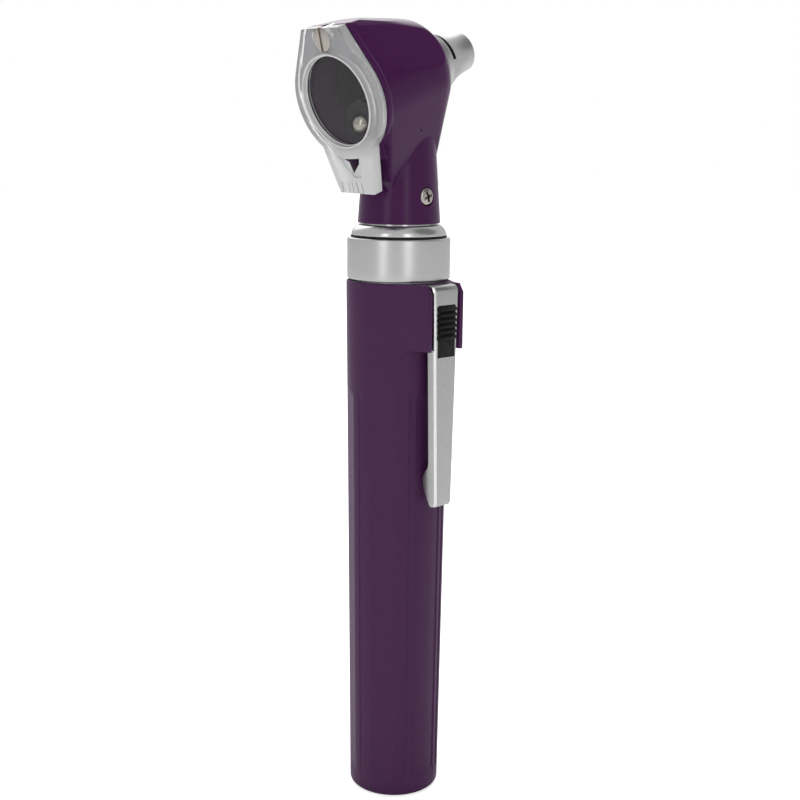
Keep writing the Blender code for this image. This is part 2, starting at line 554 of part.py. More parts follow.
def make_head_shell(plastic, head, sight):
    shell = piece("head_shell", head_form_mesh(), plastic, parent=sight, sharp=12)
    crown_r = 14.0 * MM
    crown = arc((0, 139.0 * MM), crown_r, 35, 145, 16)
    sky = [(25 * MM, 139.0 * MM + crown_r * math.sin(math.radians(35))), *crown,
           (-25 * MM, 139.0 * MM + crown_r * math.sin(math.radians(35))),
           (-25 * MM, 170 * MM), (25 * MM, 170 * MM)]
    top_cut = piece("crown_cut", prism("crown_cut", sky, -30 * MM, 30 * MM), None,
                    parent=head, rotation=(math.pi / 2 + math.radians(3), 0, 0),
                    location=(0, 0, 0.4 * MM))
    boolean(shell, top_cut)
    for side in (-1, 1):
        normal = Vector((side * 0.861, 0.106, 0.497)).normalized()
        facet = box(f"facet_cut_{side}", (-25 * MM, -25 * MM, 0), (25 * MM, 25 * MM, 20 * MM))
        boolean(shell, piece(f"facet_cut_{side}", facet, None, parent=sight,
                             location=normal * SHOULDER_FACET,
                             rotation=normal.to_track_quat("Z", "Y").to_euler()))
    flange = shield_outline(FLANGE_R, PLATE_TOP, PLATE_TOP_HALF)
    flange = [(x, max(y, -10.2 * MM)) for x, y in flange]
    boolean(shell, facing_slab("flange_form", flange, FLANGE_FRONT, FLANGE_BACK, None, sight),
            "UNION")
    neck = [(0, NECK_BOTTOM), (NECK_R_BOTTOM, NECK_BOTTOM), (NECK_R_TOP, NECK_TOP),
            (5.0 * MM, NECK_TOP + 2 * MM), (0, NECK_TOP + 2 * MM)]
    boolean(shell, piece("neck_form", turned("neck_form", neck, 64), None, parent=head), "UNION")
    for side in (-1, 1):
        lug = box(f"lug_form_{side}", (side * 5.5 * MM - 0.6 * MM, FLANGE_FRONT, -12.0 * MM),
                  (side * 5.5 * MM + 0.6 * MM, FLANGE_BACK + 3 * MM, -8.5 * MM))
        boolean(shell, piece(f"lug_form_{side}", lug, None, parent=sight), "UNION")
    cavity = [(0, -18 * MM), (CAVITY_R, -18 * MM), (CAVITY_R, -1.0 * MM), (7.6 * MM, 4.5 * MM),
              (4.9 * MM, 6.9 * MM), (0, 6.9 * MM)]
    boolean(shell, across_sight("cavity", cavity, 48, None, sight))
    nose_seat = across_sight("nose_seat", [(0, 3 * MM), (REAR_HOLE_R, 3 * MM),
                                           (REAR_HOLE_R, 14 * MM), (0, 14 * MM)], 40, None, sight)
    nose_seat.location = (0, 0, HOLDER_DROP)
    boolean(shell, nose_seat)
    boolean(shell, piece("rear_flat", box("rear_flat", (-12 * MM, REAR_FLAT, -12 * MM),
                                          (12 * MM, 20 * MM, 12 * MM)), None, parent=sight))
    bore = [(0, NECK_BOTTOM - MM), (NECK_BORE_R, NECK_BOTTOM - MM), (NECK_BORE_R, 124.4 * MM),
            (4.6 * MM, 127 * MM), (4.6 * MM, 137 * MM), (0, 137 * MM)]
    boolean(shell, piece("neck_bore", turned("neck_bore", bore, 48), None, parent=head))
    screw_way = [(0, 5 * MM), (1.2 * MM, 5 * MM), (1.2 * MM, 6.75 * MM), (1.9 * MM, 6.75 * MM),
                 (1.9 * MM, 9 * MM), (0, 9 * MM)]
    boolean(shell, piece("neck_screw_way", turned("neck_screw_way", screw_way, 24), None,
                         parent=head, location=(0, 0, NECK_SCREW_Z),
                         rotation=(0, math.pi / 2, 0)))
    pivot_way = [(0, -16 * MM), (2.3 * MM, -16 * MM), (2.3 * MM, -13.0 * MM),
                 (1.4 * MM, -13.0 * MM), (1.4 * MM, -10.2 * MM), (0, -10.2 * MM)]
    way = across_sight("pivot_way", pivot_way, 24, None, sight)
    way.location = (0, 0, PIVOT_HEIGHT)
    boolean(shell, way)


def make_neck_screw(nickel, head):
    """Cross-head screw that fixes the ferrule in the neck."""
    profile = [(0, 5.6 * MM), (0.9 * MM, 5.6 * MM), (0.9 * MM, 7.05 * MM), (1.6 * MM, 7.05 * MM),
               (1.6 * MM, 7.5 * MM), (1.1 * MM, 7.75 * MM), (0, 7.8 * MM)]
    screw = piece("neck_screw", turned("neck_screw", profile, 24), nickel, parent=head,
                  location=(0, 0, NECK_SCREW_Z), rotation=(0, math.pi / 2, 0))
    for name, half_y, half_z in (("cross_a", 1.0, 0.22), ("cross_b", 0.22, 1.0)):
        arm = box(name, (7.25 * MM, -half_y * MM, -half_z * MM),
                  (8.5 * MM, half_y * MM, half_z * MM))
        boolean(screw, piece(name, arm, None, parent=head, location=(0, 0, NECK_SCREW_Z),
                             rotation=(math.radians(20), 0, 0)))


def make_optics_inside(black, steel, fibre, sight):
    """Black funnel with its retaining screw, and the light guide under it."""
    funnel = [(8.2 * MM, -9.2 * MM), (8.2 * MM, -1.2 * MM), (3.5 * MM, 6.2 * MM),
              (3.0 * MM, 6.2 * MM), (7.5 * MM, -2.0 * MM), (7.5 * MM, -9.2 * MM)]
    body = across_sight("inner_funnel", funnel, 40, black, sight)
    boss_r, boss_z, boss_front = 4.3 * MM, -5.6 * MM, -12.0 * MM
    boss_points = [(x, z) for x, z in arc((0, boss_z), boss_r, 0, 360, 28)[:-1]]
    boss = facing_slab("funnel_boss", boss_points, boss_front, -3.5 * MM, None, sight)
    trim = across_sight("funnel_boss_trim", [(0, -13 * MM), (8.2 * MM, -13 * MM),
                                             (8.2 * MM, 0), (0, 0)], 40, None, sight)
    boolean(boss, trim, "INTERSECT")
    boolean(body, boss, "UNION")
    pin_way = across_sight("funnel_pin_way", [(0, -13 * MM), (1.65 * MM, -13 * MM),
                                              (1.65 * MM, -8 * MM), (0, -8 * MM)], 24, None, sight)
    pin_way.location = (0, 0, boss_z)
    boolean(body, pin_way)
    ball = [(0, -13.4 * MM)] + [(1.35 * MM * math.sin(a), -12.05 * MM - 1.35 * MM * math.cos(a))
                                for a in (math.radians(d) for d in (20, 40, 60, 80))]
    ball += [(1.35 * MM, -8.3 * MM), (0, -8.3 * MM)]
    pin = across_sight("funnel_screw", ball, 24, steel, sight)
    pin.location = (0, 0, boss_z)

    curve = bpy.data.curves.new("light_guide", "CURVE")
    curve.dimensions = "3D"
    curve.bevel_depth = 0.5 * MM
    curve.bevel_resolution = 2
    curve.use_fill_caps = True
    route = [(-4.3, -13.5), (-2.9, -11.6), (-1.3, -9.6), (0.5, -8.0), (2.0, -7.0), (4.3, -5.8),
             (6.2, -4.6), (7.4, -3.2), (9.0, -2.55), (12.5, -2.5), (16.6, -2.5)]
    spline = curve.splines.new("POLY")
    spline.points.add(len(route) - 1)
    for point, (y, z) in zip(spline.points, route):
        point.co = (0, y * MM, z * MM, 1.0)
    curve.materials.append(fibre)
    guide = bpy.data.objects.new("light_guide", curve)
    bpy.context.scene.collection.objects.link(guide)
    guide.parent = sight


def make_speculum_holder(satin, sight):
    """Flared metal nose with a bayonet slot for the disposable specula."""
    flare = []
    base_r = 6.0 * MM
    for i in range(9):
        t = i / 8
        radius = HOLDER_TIP_R + (base_r - HOLDER_TIP_R) * (1 - t) ** 1.9
        flare.append((radius, HOLDER_BASE + (HOLDER_TIP - 0.5 * MM - HOLDER_BASE) * t))
    lip = [(HOLDER_TIP_R - 0.05 * MM, HOLDER_TIP - 0.15 * MM), (HOLDER_TIP_R - 0.2 * MM, HOLDER_TIP)]
    profile = [(4.0 * MM, 7.6 * MM), (5.0 * MM, 7.6 * MM), (5.0 * MM, HOLDER_BASE), *flare, *lip,
               (HOLDER_BORE_R, HOLDER_TIP), (HOLDER_BORE_R, 12.5 * MM), (4.0 * MM, 10.5 * MM)]
    holder = across_sight("speculum_holder", profile, 48, satin, sight)
    holder.location = (0, 0, HOLDER_DROP)
    inner, outer = 4.75 * MM, 7.0 * MM
    outline = arc((0, HOLDER_DROP), outer, 4, 118, 14)
    outline += arc((0, HOLDER_DROP), inner, 118, 4, 14)
    slot = facing_slab("bayonet_slot", outline, HOLDER_SLOT_Y - 0.22 * MM,
                       HOLDER_SLOT_Y + 0.22 * MM, None, sight)
    boolean(holder, slot)


def make_pivot(nickel, steel, sight):
    """Slotted screw and bush that the magnifier plate swings on."""
    profile = [(0, -17.25 * MM), (1.9 * MM, -17.25 * MM), (2.2 * MM, -17.05 * MM),
               (2.2 * MM, -16.5 * MM), (1.1 * MM, -16.5 * MM), (1.1 * MM, -10.6 * MM),
               (0, -10.6 * MM)]
    screw = across_sight("pivot_screw", profile, 32, nickel, sight)
    screw.location = (0, 0, PIVOT_HEIGHT)
    slot = box("screw_slot", (-0.3 * MM, -18 * MM, -3 * MM), (0.3 * MM, -16.85 * MM, 3 * MM))
    boolean(screw, piece("screw_slot", slot, None, parent=sight, location=(0, 0, PIVOT_HEIGHT),
                         rotation=(0, math.radians(-11), 0)))
    bush = [(1.4 * MM, -16.2 * MM), (2.0 * MM, -16.2 * MM), (2.0 * MM, -13.3 * MM),
            (1.4 * MM, -13.3 * MM)]
    ring = across_sight("pivot_bush", bush, 32, steel, sight)
    ring.location = (0, 0, PIVOT_HEIGHT)


def plate_outline():
    """Shield for the lens with a tapering thumb foot below it."""
    shield = shield_outline(PLATE_R, PLATE_TOP, PLATE_TOP_HALF, arc_bottom=-52)
    foot = [(PLATE_FOOT_TOP_HALF, PLATE_FOOT_TOP), (PLATE_FOOT_HALF, PLATE_FOOT_BOTTOM)]
    left_foot = [(-x, z) for x, z in foot]
    return list(reversed(foot)) + shield + left_foot


def make_plate(acrylic, glass, pivot):
    """The swinging plate, its lens ring and its lens, all placed from the pivot."""
    drop = -PIVOT_HEIGHT
    outline = [(x, z + drop) for x, z in plate_outline()]
    plate = facing_slab("viewing_plate", outline, PLATE_FRONT, PLATE_BACK, acrylic, pivot)
    window = across_sight("plate_window", [(0, -20 * MM), (LENS_RING_R + GAP, -20 * MM),
                                           (LENS_RING_R + GAP, -10 * MM), (0, -10 * MM)],
                          64, None, pivot)
    window.location = (0, 0, drop)
    boolean(plate, window)
    pivot_way = [(0, -20 * MM), (2.5 * MM, -20 * MM), (2.5 * MM, -16.2 * MM),
                 (2.3 * MM, -16.2 * MM), (2.3 * MM, -10 * MM), (0, -10 * MM)]
    boolean(plate, across_sight("plate_pivot_way", pivot_way, 32, None, pivot))
    cut = [(-2.9 * MM, -10.4 * MM + drop), (0.7 * MM, -13.6 * MM + drop),
           (3.0 * MM, -10.6 * MM + drop)]
    boolean(plate, facing_slab("plate_v_cut", cut, -20 * MM, -10 * MM, None, pivot))
    for k in range(5):
        x = (-2.8 + 1.4 * k) * MM
        groove = [(x - 0.2 * MM, -19 * MM + drop), (x + 0.2 * MM, -19 * MM + drop),
                  (x + 0.2 * MM, -15.3 * MM + drop), (x - 0.2 * MM, -15.3 * MM + drop)]
        boolean(plate, facing_slab(f"grip_groove_{k}", groove, -18 * MM, PLATE_FRONT + 0.35 * MM,
                                   None, pivot))
    ring = [(WINDOW_R, LENS_RING_FRONT), (LENS_RING_R, LENS_RING_FRONT),
            (LENS_RING_R, PLATE_BACK), (7.3 * MM, PLATE_BACK), (7.3 * MM, -15.4 * MM),
            (WINDOW_R, -15.4 * MM)]
    across_sight("lens_ring", ring, 56, acrylic, pivot).location = (0, 0, drop)
    lens_r = WINDOW_R - GAP
    front_bulge = [(lens_r * math.sin(a), -16.1 * MM - 0.45 * MM * (math.cos(a)))
                   for a in (math.radians(d) for d in (22, 45, 68, 90))]
    lens = [(0, -16.55 * MM), *front_bulge, (lens_r, -15.7 * MM), (0, -15.7 * MM)]
    across_sight("magnifier_lens", lens, 48, glass, pivot).location = (0, 0, drop)


def main():
    clear_scene()
    plastic = material("plum_plastic", (0.063, 0.026, 0.069), 0.42)
    satin = material("satin_metal", (0.60, 0.60, 0.60), 0.38, metallic=1.0)
    chrome = material("polished_chrome", (0.78, 0.78, 0.78), 0.08, metallic=1.0)
    nickel = material("nickel_screw", (0.70, 0.66, 0.60), 0.25, metallic=1.0)
    steel = material("spring_steel", (0.55, 0.55, 0.56), 0.3, metallic=1.0)
    brass = material("contact_brass", (0.78, 0.57, 0.25), 0.3, metallic=1.0)
    black = material("black_plastic", (0.012, 0.012, 0.012), 0.5)
    wrap = material("battery_wrap", (0.05, 0.06, 0.08), 0.35)
    acrylic = material("frosted_acrylic", (0.78, 0.78, 0.78), 0.3, transmission=0.4)
    glass = material("lens_glass", (0.95, 0.95, 0.95), 0.02, transmission=1.0)
    fibre = material("light_guide_acrylic", (0.9, 0.9, 0.88), 0.1, transmission=0.8)

    flex = empty("clip_flex_axis", location=(CLIP_FLEX_X, 0, CLIP_FLEX_Z))
    slide = empty("switch_slide_axis", location=(CLIP_FACE_X, 0, BUTTON_BOTTOM))
    make_handle(plastic)
    make_collar(satin)
    make_power_train(brass, steel, wrap)
    make_clip(satin, flex)
    make_switch(black, brass, slide)

    head = empty("head_twist_axis")
    plunger = empty("plunger_axis", location=(0, 0, 109.0 * MM), parent=head)
    sight = empty("sight_frame", location=(0, 0, SIGHT_HEIGHT), rotation=(SIGHT_TILT, 0, 0),
                  parent=head)
    pivot = empty("plate_pivot_axis", location=(0, 0, PIVOT_HEIGHT),
                  rotation=(0, PLATE_REST_SWING, 0), parent=sight)
    bpy.context.view_layer.update()
    make_ferrule(chrome, head)
    make_lamp(black, brass, glass, steel, head, plunger)
    make_head_shell(plastic, head, sight)
    make_neck_screw(nickel, head)
    make_optics_inside(black, steel, fibre, sight)
    make_speculum_holder(satin, sight)
    make_pivot(nickel, steel, sight)
    make_plate(acrylic, glass, pivot)


main()
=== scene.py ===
"""Pocket otoscope: detailed pieces, materials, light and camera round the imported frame."""
import math

import bmesh
import bpy
from mathutils import Matrix, Vector


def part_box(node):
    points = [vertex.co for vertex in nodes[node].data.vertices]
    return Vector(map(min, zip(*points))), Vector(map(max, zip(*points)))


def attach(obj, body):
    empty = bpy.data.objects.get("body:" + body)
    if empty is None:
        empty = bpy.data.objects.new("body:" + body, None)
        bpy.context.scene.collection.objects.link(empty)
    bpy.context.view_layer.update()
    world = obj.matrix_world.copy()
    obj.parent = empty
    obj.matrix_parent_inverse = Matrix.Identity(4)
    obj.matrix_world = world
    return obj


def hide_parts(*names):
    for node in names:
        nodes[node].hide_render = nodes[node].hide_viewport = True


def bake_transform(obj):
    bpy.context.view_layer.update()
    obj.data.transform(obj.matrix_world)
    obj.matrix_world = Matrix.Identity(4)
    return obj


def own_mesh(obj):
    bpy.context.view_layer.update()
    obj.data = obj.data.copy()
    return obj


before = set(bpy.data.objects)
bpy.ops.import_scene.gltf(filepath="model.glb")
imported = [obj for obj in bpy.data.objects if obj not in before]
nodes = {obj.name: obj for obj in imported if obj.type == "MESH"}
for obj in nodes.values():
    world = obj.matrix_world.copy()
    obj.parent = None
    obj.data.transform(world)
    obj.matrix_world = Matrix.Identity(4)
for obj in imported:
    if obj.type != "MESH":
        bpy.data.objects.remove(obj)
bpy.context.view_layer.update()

scene = bpy.context.scene
MM = 0.001

# The head's own frame: x across, y along the line of sight, z up the magnifier. Lengths are
# in millimetres. The magnifier's plate hangs a little off straight on its pivot.
SIGHT_TILT = math.radians(19)
SIGHT_HEIGHT = 143.4
PIVOT_HEIGHT = 11.3
PLATE_SWING = math.radians(0.9)
SIGHT = Matrix.Translation((0, 0, SIGHT_HEIGHT)) @ Matrix.Rotation(SIGHT_TILT, 4, "X")
PIVOT = SIGHT @ Matrix.Translation((0, 0, PIVOT_HEIGHT))
PLATE = PIVOT @ Matrix.Rotation(PLATE_SWING, 4, "Y")
ALONG_Y = Matrix.Rotation(-math.pi / 2, 4, "X")     # turned pieces: height runs along +y
FACING = Matrix.Rotation(math.pi / 2, 4, "X")       # slabs: outline (across, up), depth along -y


# ---------------------------------------------------------------------------------------------
# Mesh helpers; everything is built in millimetres and scaled once at the end.
# ---------------------------------------------------------------------------------------------
def mesh_from(bm, place=None):
    """Turn a bmesh into a mesh with its faces outwards, moved to its place if one is given."""
    bmesh.ops.recalc_face_normals(bm, faces=bm.faces)
    mesh = bpy.data.meshes.new("form")
    bm.to_mesh(mesh)
    bm.free()
    if place:
        mesh.transform(place)
    return mesh


def turned(profile, segments=128, place=None):
    """Turn (radius, height) points about Z; an off-axis profile closes on itself as a ring."""
    bm = bmesh.new()
    verts = [bm.verts.new((radius, 0, height)) for radius, height in profile]
    edges = [bm.edges.new(pair) for pair in zip(verts, verts[1:])]
    if min(radius for radius, _ in profile) > 0:
        edges.append(bm.edges.new((verts[-1], verts[0])))
    bmesh.ops.spin(bm, geom=verts + edges, cent=(0, 0, 0), axis=(0, 0, 1),
                   angle=math.tau, steps=segments, use_merge=True)
    bmesh.ops.remove_doubles(bm, verts=bm.verts, dist=1e-4)
    return mesh_from(bm, place)


def prism(outline, low, high, place=None):
    """Extrude an outline of (x, y) points along Z from low to high."""
    bm = bmesh.new()
    face = bm.faces.new([bm.verts.new((x, y, low)) for x, y in outline])
    extruded = bmesh.ops.extrude_face_region(bm, geom=[face])["geom"]
    moved = [item for item in extruded if isinstance(item, bmesh.types.BMVert)]
    bmesh.ops.translate(bm, verts=moved, vec=(0, 0, high - low))
    return mesh_from(bm, place)


def slab(outline, front, back, frame_matrix):
    """A slab across the line of sight; outline is (across, up), front and back are along it."""
    return prism(outline, -back, -front, frame_matrix @ FACING)


def block(low, high, place=None):
    """A box from its lowest to its highest corner; used only to cut or to join."""
    outline = [(low[0], low[1]), (high[0], low[1]), (high[0], high[1]), (low[0], high[1])]
    return prism(outline, low[2], high[2], place)


def arc(center, radius, start, end, steps):
    """Points on a circle from one angle to another, in degrees, both ends included."""
    angles = [math.radians(start + (end - start) * i / steps) for i in range(steps + 1)]
    return [(center[0] + radius * math.cos(a), center[1] + radius * math.sin(a))
            for a in angles]


def loft(sections, place=None):
    """Skin a list of closed sections, each the same number of points, and cap both ends."""
    bm = bmesh.new()
    rings = [[bm.verts.new(point) for point in section] for section in sections]
    for lower, upper in zip(rings, rings[1:]):
        for k in range(len(lower)):
            bm.faces.new((lower[k - 1], lower[k], upper[k], upper[k - 1]))
    bm.faces.new(rings[0])
    bm.faces.new(rings[-1])
    return mesh_from(bm, place)


def swept(profile, start, end, steps, place):
    """Sweep a closed (radius, height) outline about Z through part of a turn, in degrees."""
    sections = []
    for i in range(steps + 1):
        turn = math.radians(start + (end - start) * i / steps)
        sections.append([(radius * math.cos(turn), radius * math.sin(turn), height)
                         for radius, height in profile])
    return loft(sections, place)


def combine(base, tools):
    """Apply exact booleans in turn; tools are (operation, mesh) pairs."""
    target = bpy.data.objects.new("combine_target", base)
    scene.collection.objects.link(target)
    helpers = []
    for operation, mesh in tools:
        helper = bpy.data.objects.new("combine_tool", mesh)
        scene.collection.objects.link(helper)
        helpers.append(helper)
        modifier = target.modifiers.new("boolean", "BOOLEAN")
        modifier.operation = operation
        modifier.solver = "EXACT"
        modifier.object = helper
    return baked(target, helpers)


def baked(target, helpers=()):
    """The mesh of an object with its modifiers applied; the object and helpers are removed."""
    bpy.context.view_layer.update()
    evaluated = target.evaluated_get(bpy.context.evaluated_depsgraph_get())
    mesh = bpy.data.meshes.new_from_object(evaluated)
    for obj in (target, *helpers):
        bpy.data.objects.remove(obj, do_unlink=True)
    return mesh


def with_modifiers(mesh, *settings):
    """Apply modifiers, each given as (type, {property: value})."""
    obj = bpy.data.objects.new("modified", mesh)
    scene.collection.objects.link(obj)
    for kind, values in settings:
        modifier = obj.modifiers.new(kind.lower(), kind)
        for key, value in values.items():
            setattr(modifier, key, value)
    return baked(obj)


def bevelled(mesh, width, segments=3, angle=35):
    """Round the edges sharper than an angle, in degrees."""
    return with_modifiers(mesh, ("BEVEL", {
        "width": width, "segments": segments, "limit_method": "ANGLE",
        "angle_limit": math.radians(angle), "use_clamp_overlap": True,
        "harden_normals": False}))


def piece(name, mesh, mat, body, stands_for=(), sharp=35):
    """Scale a finished mesh to metres, give it its material and put it on its body."""
    mesh.transform(Matrix.Scale(MM, 4))
    mesh.materials.clear()
    mesh.materials.append(mat)
    mesh.shade_smooth()
    mesh.set_sharp_from_angle(angle=math.radians(sharp))
    obj = bpy.data.objects.new(name, mesh)
    scene.collection.objects.link(obj)
    if body:
        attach(obj, body)
    if stands_for:
        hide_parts(*stands_for)
    return obj


# ---------------------------------------------------------------------------------------------
# Materials
# ---------------------------------------------------------------------------------------------
class Nodes:
    """A small wrapper that builds a Principled material's node tree."""

    def __init__(self, name):
        self.material = bpy.data.materials.new(name)
        self.material.use_nodes = True
        self.tree = self.material.node_tree
        self.shader = self.tree.nodes["Principled BSDF"]

    def add(self, kind, **values):
        """Add a node; each value sets a socket of that name, or else a property."""
        node = self.tree.nodes.new(kind)
        for key, value in values.items():
            if key in node.inputs:
                node.inputs[key].default_value = value
            else:
                setattr(node, key, value)
        return node

    def link(self, source, target):
        self.tree.links.new(source, target)

    def set(self, **values):
        """Set the shader's own sockets, named with _ for a space."""
        for key, value in values.items():
            self.shader.inputs[key.replace("_", " ")].default_value = value

    def coordinates(self, scale=(1, 1, 1)):
        """Object coordinates, stretched per axis."""
        source = self.add("ShaderNodeTexCoord")
        mapping = self.add("ShaderNodeMapping", Scale=scale)
        self.link(source.outputs["Object"], mapping.inputs["Vector"])
        return mapping.outputs["Vector"]

    def noise(self, scale, detail=3.0, stretch=(1, 1, 1), roughness=0.5):
        """Noise in object space; its scale is in cycles per metre."""
        node = self.add("ShaderNodeTexNoise", Scale=scale, Detail=detail, Roughness=roughness)
        self.link(self.coordinates(stretch), node.inputs["Vector"])
        return node.outputs["Fac"]

    def ramp(self, source, stops):
        """A colour ramp from (position, colour) stops; grey stops may be one number."""
        node = self.add("ShaderNodeValToRGB")
        elements = node.color_ramp.elements
        while len(elements) < len(stops):
            elements.new(0.5)
        for element, (position, color) in zip(elements, stops):
            element.position = position
            element.color = (*color, 1) if isinstance(color, tuple) else (color,) * 3 + (1,)
        self.link(source, node.inputs["Fac"])
        return node.outputs["Color"]

    def span(self, source, low, high, out_low, out_high):
        """Map a value's range from low and high to out_low and out_high."""
        node = self.add("ShaderNodeMapRange")
        node.inputs["From Min"].default_value = low
        node.inputs["From Max"].default_value = high
        node.inputs["To Min"].default_value = out_low
        node.inputs["To Max"].default_value = out_high
        self.link(source, node.inputs["Value"])
        return node.outputs["Result"]

    def bump(self, height, strength, distance):
        """Bump the surface; distance is in metres."""
        node = self.add("ShaderNodeBump", Strength=strength, Distance=distance)
        self.link(height, node.inputs["Height"])
        self.link(node.outputs["Normal"], self.shader.inputs["Normal"])

    def color(self, socket):
        self.link(socket, self.shader.inputs["Base Color"])

    def roughness(self, socket):
        self.link(socket, self.shader.inputs["Roughness"])


def moulded_plastic(name, dark, light, rough=(0.30, 0.42), level=0.5, sheen=0.0):
    """Injection-moulded plastic: faint colour drift, fine spark grain and uneven gloss."""
    n = Nodes(name)
    n.color(n.ramp(n.noise(900, 4), [(0.3, dark), (0.7, light)]))
    n.roughness(n.span(n.noise(1500, 3), 0.3, 0.7, *rough))
    n.bump(n.noise(5200, 2), 0.25, 0.03 * MM)
    n.set(Specular_IOR_Level=level, Sheen_Weight=sheen, Sheen_Roughness=0.3,
          Sheen_Tint=(0.90, 0.82, 1.0, 1.0))
    return n.material


def turned_metal(name, dark, light, rough):
    """Satin metal with fine lines round the axis it was turned on."""
    n = Nodes(name)
    lines = n.noise(9, 6, (6, 6, 900), 0.7)
    n.color(n.ramp(lines, [(0.3, dark), (0.7, light)]))
    n.roughness(n.span(lines, 0.3, 0.7, *rough))
    n.bump(lines, 0.08, 0.01 * MM)
    n.set(Metallic=1.0)
    return n.material


def blasted_metal(name, dark, light, rough):
    """Bead-blasted die casting under a thin satin plating."""
    n = Nodes(name)
    n.color(n.ramp(n.noise(900, 4), [(0.35, dark), (0.65, light)]))
    n.roughness(n.span(n.noise(700, 3), 0.3, 0.7, *rough))
    n.bump(n.noise(6000, 2), 0.05, 0.003 * MM)
    n.set(Metallic=1.0)
    return n.material


def polished_metal(name, dark, light, rough):
    """Bright plating with faint smears."""
    n = Nodes(name)
    n.color(n.ramp(n.noise(200, 3), [(0.3, dark), (0.7, light)]))
    n.roughness(n.span(n.noise(450, 4), 0.35, 0.7, *rough))
    n.set(Metallic=1.0)
    return n.material


def frosted_acrylic(name, tint_low, tint_high, rough, transmission, painted_light_fade=None):
    """Clear plastic with a fine satin surface.

    painted_light_fade is (low, high, weight): transmission falls to weight between two heights in
    metres, so the part below shows whiter: painted light.
    """
    n = Nodes(name)
    n.color(n.ramp(n.noise(160, 3), [(0.3, tint_low), (0.7, tint_high)]))
    n.roughness(n.span(n.noise(500, 3), 0.3, 0.7, *rough))
    n.set(Transmission_Weight=transmission, IOR=1.49)
    if painted_light_fade:
        height = n.add("ShaderNodeSeparateXYZ")
        n.link(n.coordinates(), height.inputs["Vector"])
        low, high, weight = painted_light_fade
        clearing = n.span(height.outputs["Z"], low, high, weight, transmission)
        n.link(clearing, n.shader.inputs["Transmission Weight"])
    return n.material


def clear_glass(name, index=1.5):
    """Clear glass or polished clear plastic with a faint tint."""
    n = Nodes(name)
    n.color(n.ramp(n.noise(90, 2), [(0.3, (0.93, 0.95, 0.95)), (0.7, (0.97, 0.98, 0.98))]))
    n.roughness(n.span(n.noise(300, 3), 0.4, 0.8, 0.0, 0.02))
    n.set(Transmission_Weight=1.0, IOR=index)
    return n.material


PLUM_DARK, PLUM_LIGHT = (0.0505, 0.0056, 0.0570), (0.0555, 0.0072, 0.0625)
plum_handle = moulded_plastic("plum_handle_look", PLUM_DARK, PLUM_LIGHT, rough=(0.50, 0.60),
                              level=0.34, sheen=0.18)
plum_head = moulded_plastic("plum_head_look", PLUM_DARK, PLUM_LIGHT, rough=(0.20, 0.24),
                            level=0.23, sheen=0.03)
black = moulded_plastic("black_plastic_look", (0.006, 0.006, 0.006), (0.010, 0.010, 0.009),
                        rough=(0.40, 0.52), level=0.18)
funnel_black = moulded_plastic("funnel_plastic_look", (0.011, 0.011, 0.011),
                               (0.016, 0.016, 0.015), rough=(0.42, 0.55), level=0.14)
satin_collar = turned_metal("collar_metal_look", (0.60, 0.60, 0.60), (0.64, 0.64, 0.64),
                            rough=(0.28, 0.33))
satin_nose = turned_metal("holder_metal_look", (0.57, 0.57, 0.57), (0.65, 0.65, 0.65),
                          rough=(0.28, 0.36))
casting = blasted_metal("clip_metal_look", (0.490, 0.490, 0.490), (0.505, 0.505, 0.505),
                        rough=(0.27, 0.29))
# painted highlight: a near-white metal for the clip's chamfers where they catch the light
painted_highlight_metal = polished_metal("clip_painted_highlight_look", (0.90, 0.90, 0.90), (0.97, 0.97, 0.97),
                             rough=(0.14, 0.20))
chrome = polished_metal("chrome_look", (0.66, 0.66, 0.66), (0.72, 0.72, 0.72), (0.20, 0.25))
nickel = polished_metal("nickel_look", (0.46, 0.43, 0.40), (0.56, 0.52, 0.48), (0.09, 0.15))
ball_steel = polished_metal("ball_look", (0.46, 0.42, 0.37), (0.54, 0.49, 0.44), (0.05, 0.08))
steel = polished_metal("steel_look", (0.60, 0.60, 0.60), (0.70, 0.70, 0.70), (0.15, 0.25))
brass = polished_metal("brass_look", (0.62, 0.42, 0.16), (0.74, 0.53, 0.22), (0.2, 0.3))
wrap = moulded_plastic("battery_look", (0.03, 0.04, 0.06), (0.05, 0.06, 0.09))
# The plate shows whiter towards its foot, where transmission falls: painted light on the foot.
acrylic = frosted_acrylic("plate_acrylic_look", (0.86, 0.87, 0.87), (0.92, 0.92, 0.93),
                          (0.12, 0.16), 0.80, painted_light_fade=(0.1275, 0.1325, 0.37))
# painted highlight: near-white, barely clear beads that stand in for the bright edges of the
# clear lens seat
highlight_bead_acrylic = frosted_acrylic("painted_highlight_bead_look", (0.90, 0.90, 0.91), (0.95, 0.95, 0.95),
                               (0.08, 0.14), 0.15)
rim_acrylic = frosted_acrylic("ring_acrylic_look", (0.90, 0.90, 0.90), (0.95, 0.95, 0.95),
                              (0.10, 0.15), 0.55)
glass = clear_glass("lens_glass_look", index=1.3)
bulb_glass = clear_glass("bulb_glass_look")
rod_acrylic = clear_glass("light_guide_look")


# ---------------------------------------------------------------------------------------------
# Handle
# ---------------------------------------------------------------------------------------------
HANDLE_TOP, HANDLE_R_FOOT, HANDLE_R_TOP = 104.6, 9.05, 10.15
BASE_FILLET, BASE_THICK, TOP_LIP = 1.1, 1.6, 0.3
BORE_R, MOUTH_R, MOUTH_FLOOR = 7.4, 8.9, 102.2

# The long channels. Angles are in degrees from the clip's plane; each wall slopes over
# CHANNEL_WALL degrees, and each end fades over CHANNEL_FADE of height.
CHANNEL_BOTTOM, CHANNEL_TOP, CHANNEL_FADE = 3.2, 83.4, 1.5
CHANNEL_STEP, CHANNEL_WALL = 0.25, 0.5
DEEP_HALF, SHALLOW_HALF = 20.7, 30.3
FLAT_CENTER, FLAT_HALF = 60.5, 16.0
SIDE_START, SIDE_DEPTH = 86.2, 0.12

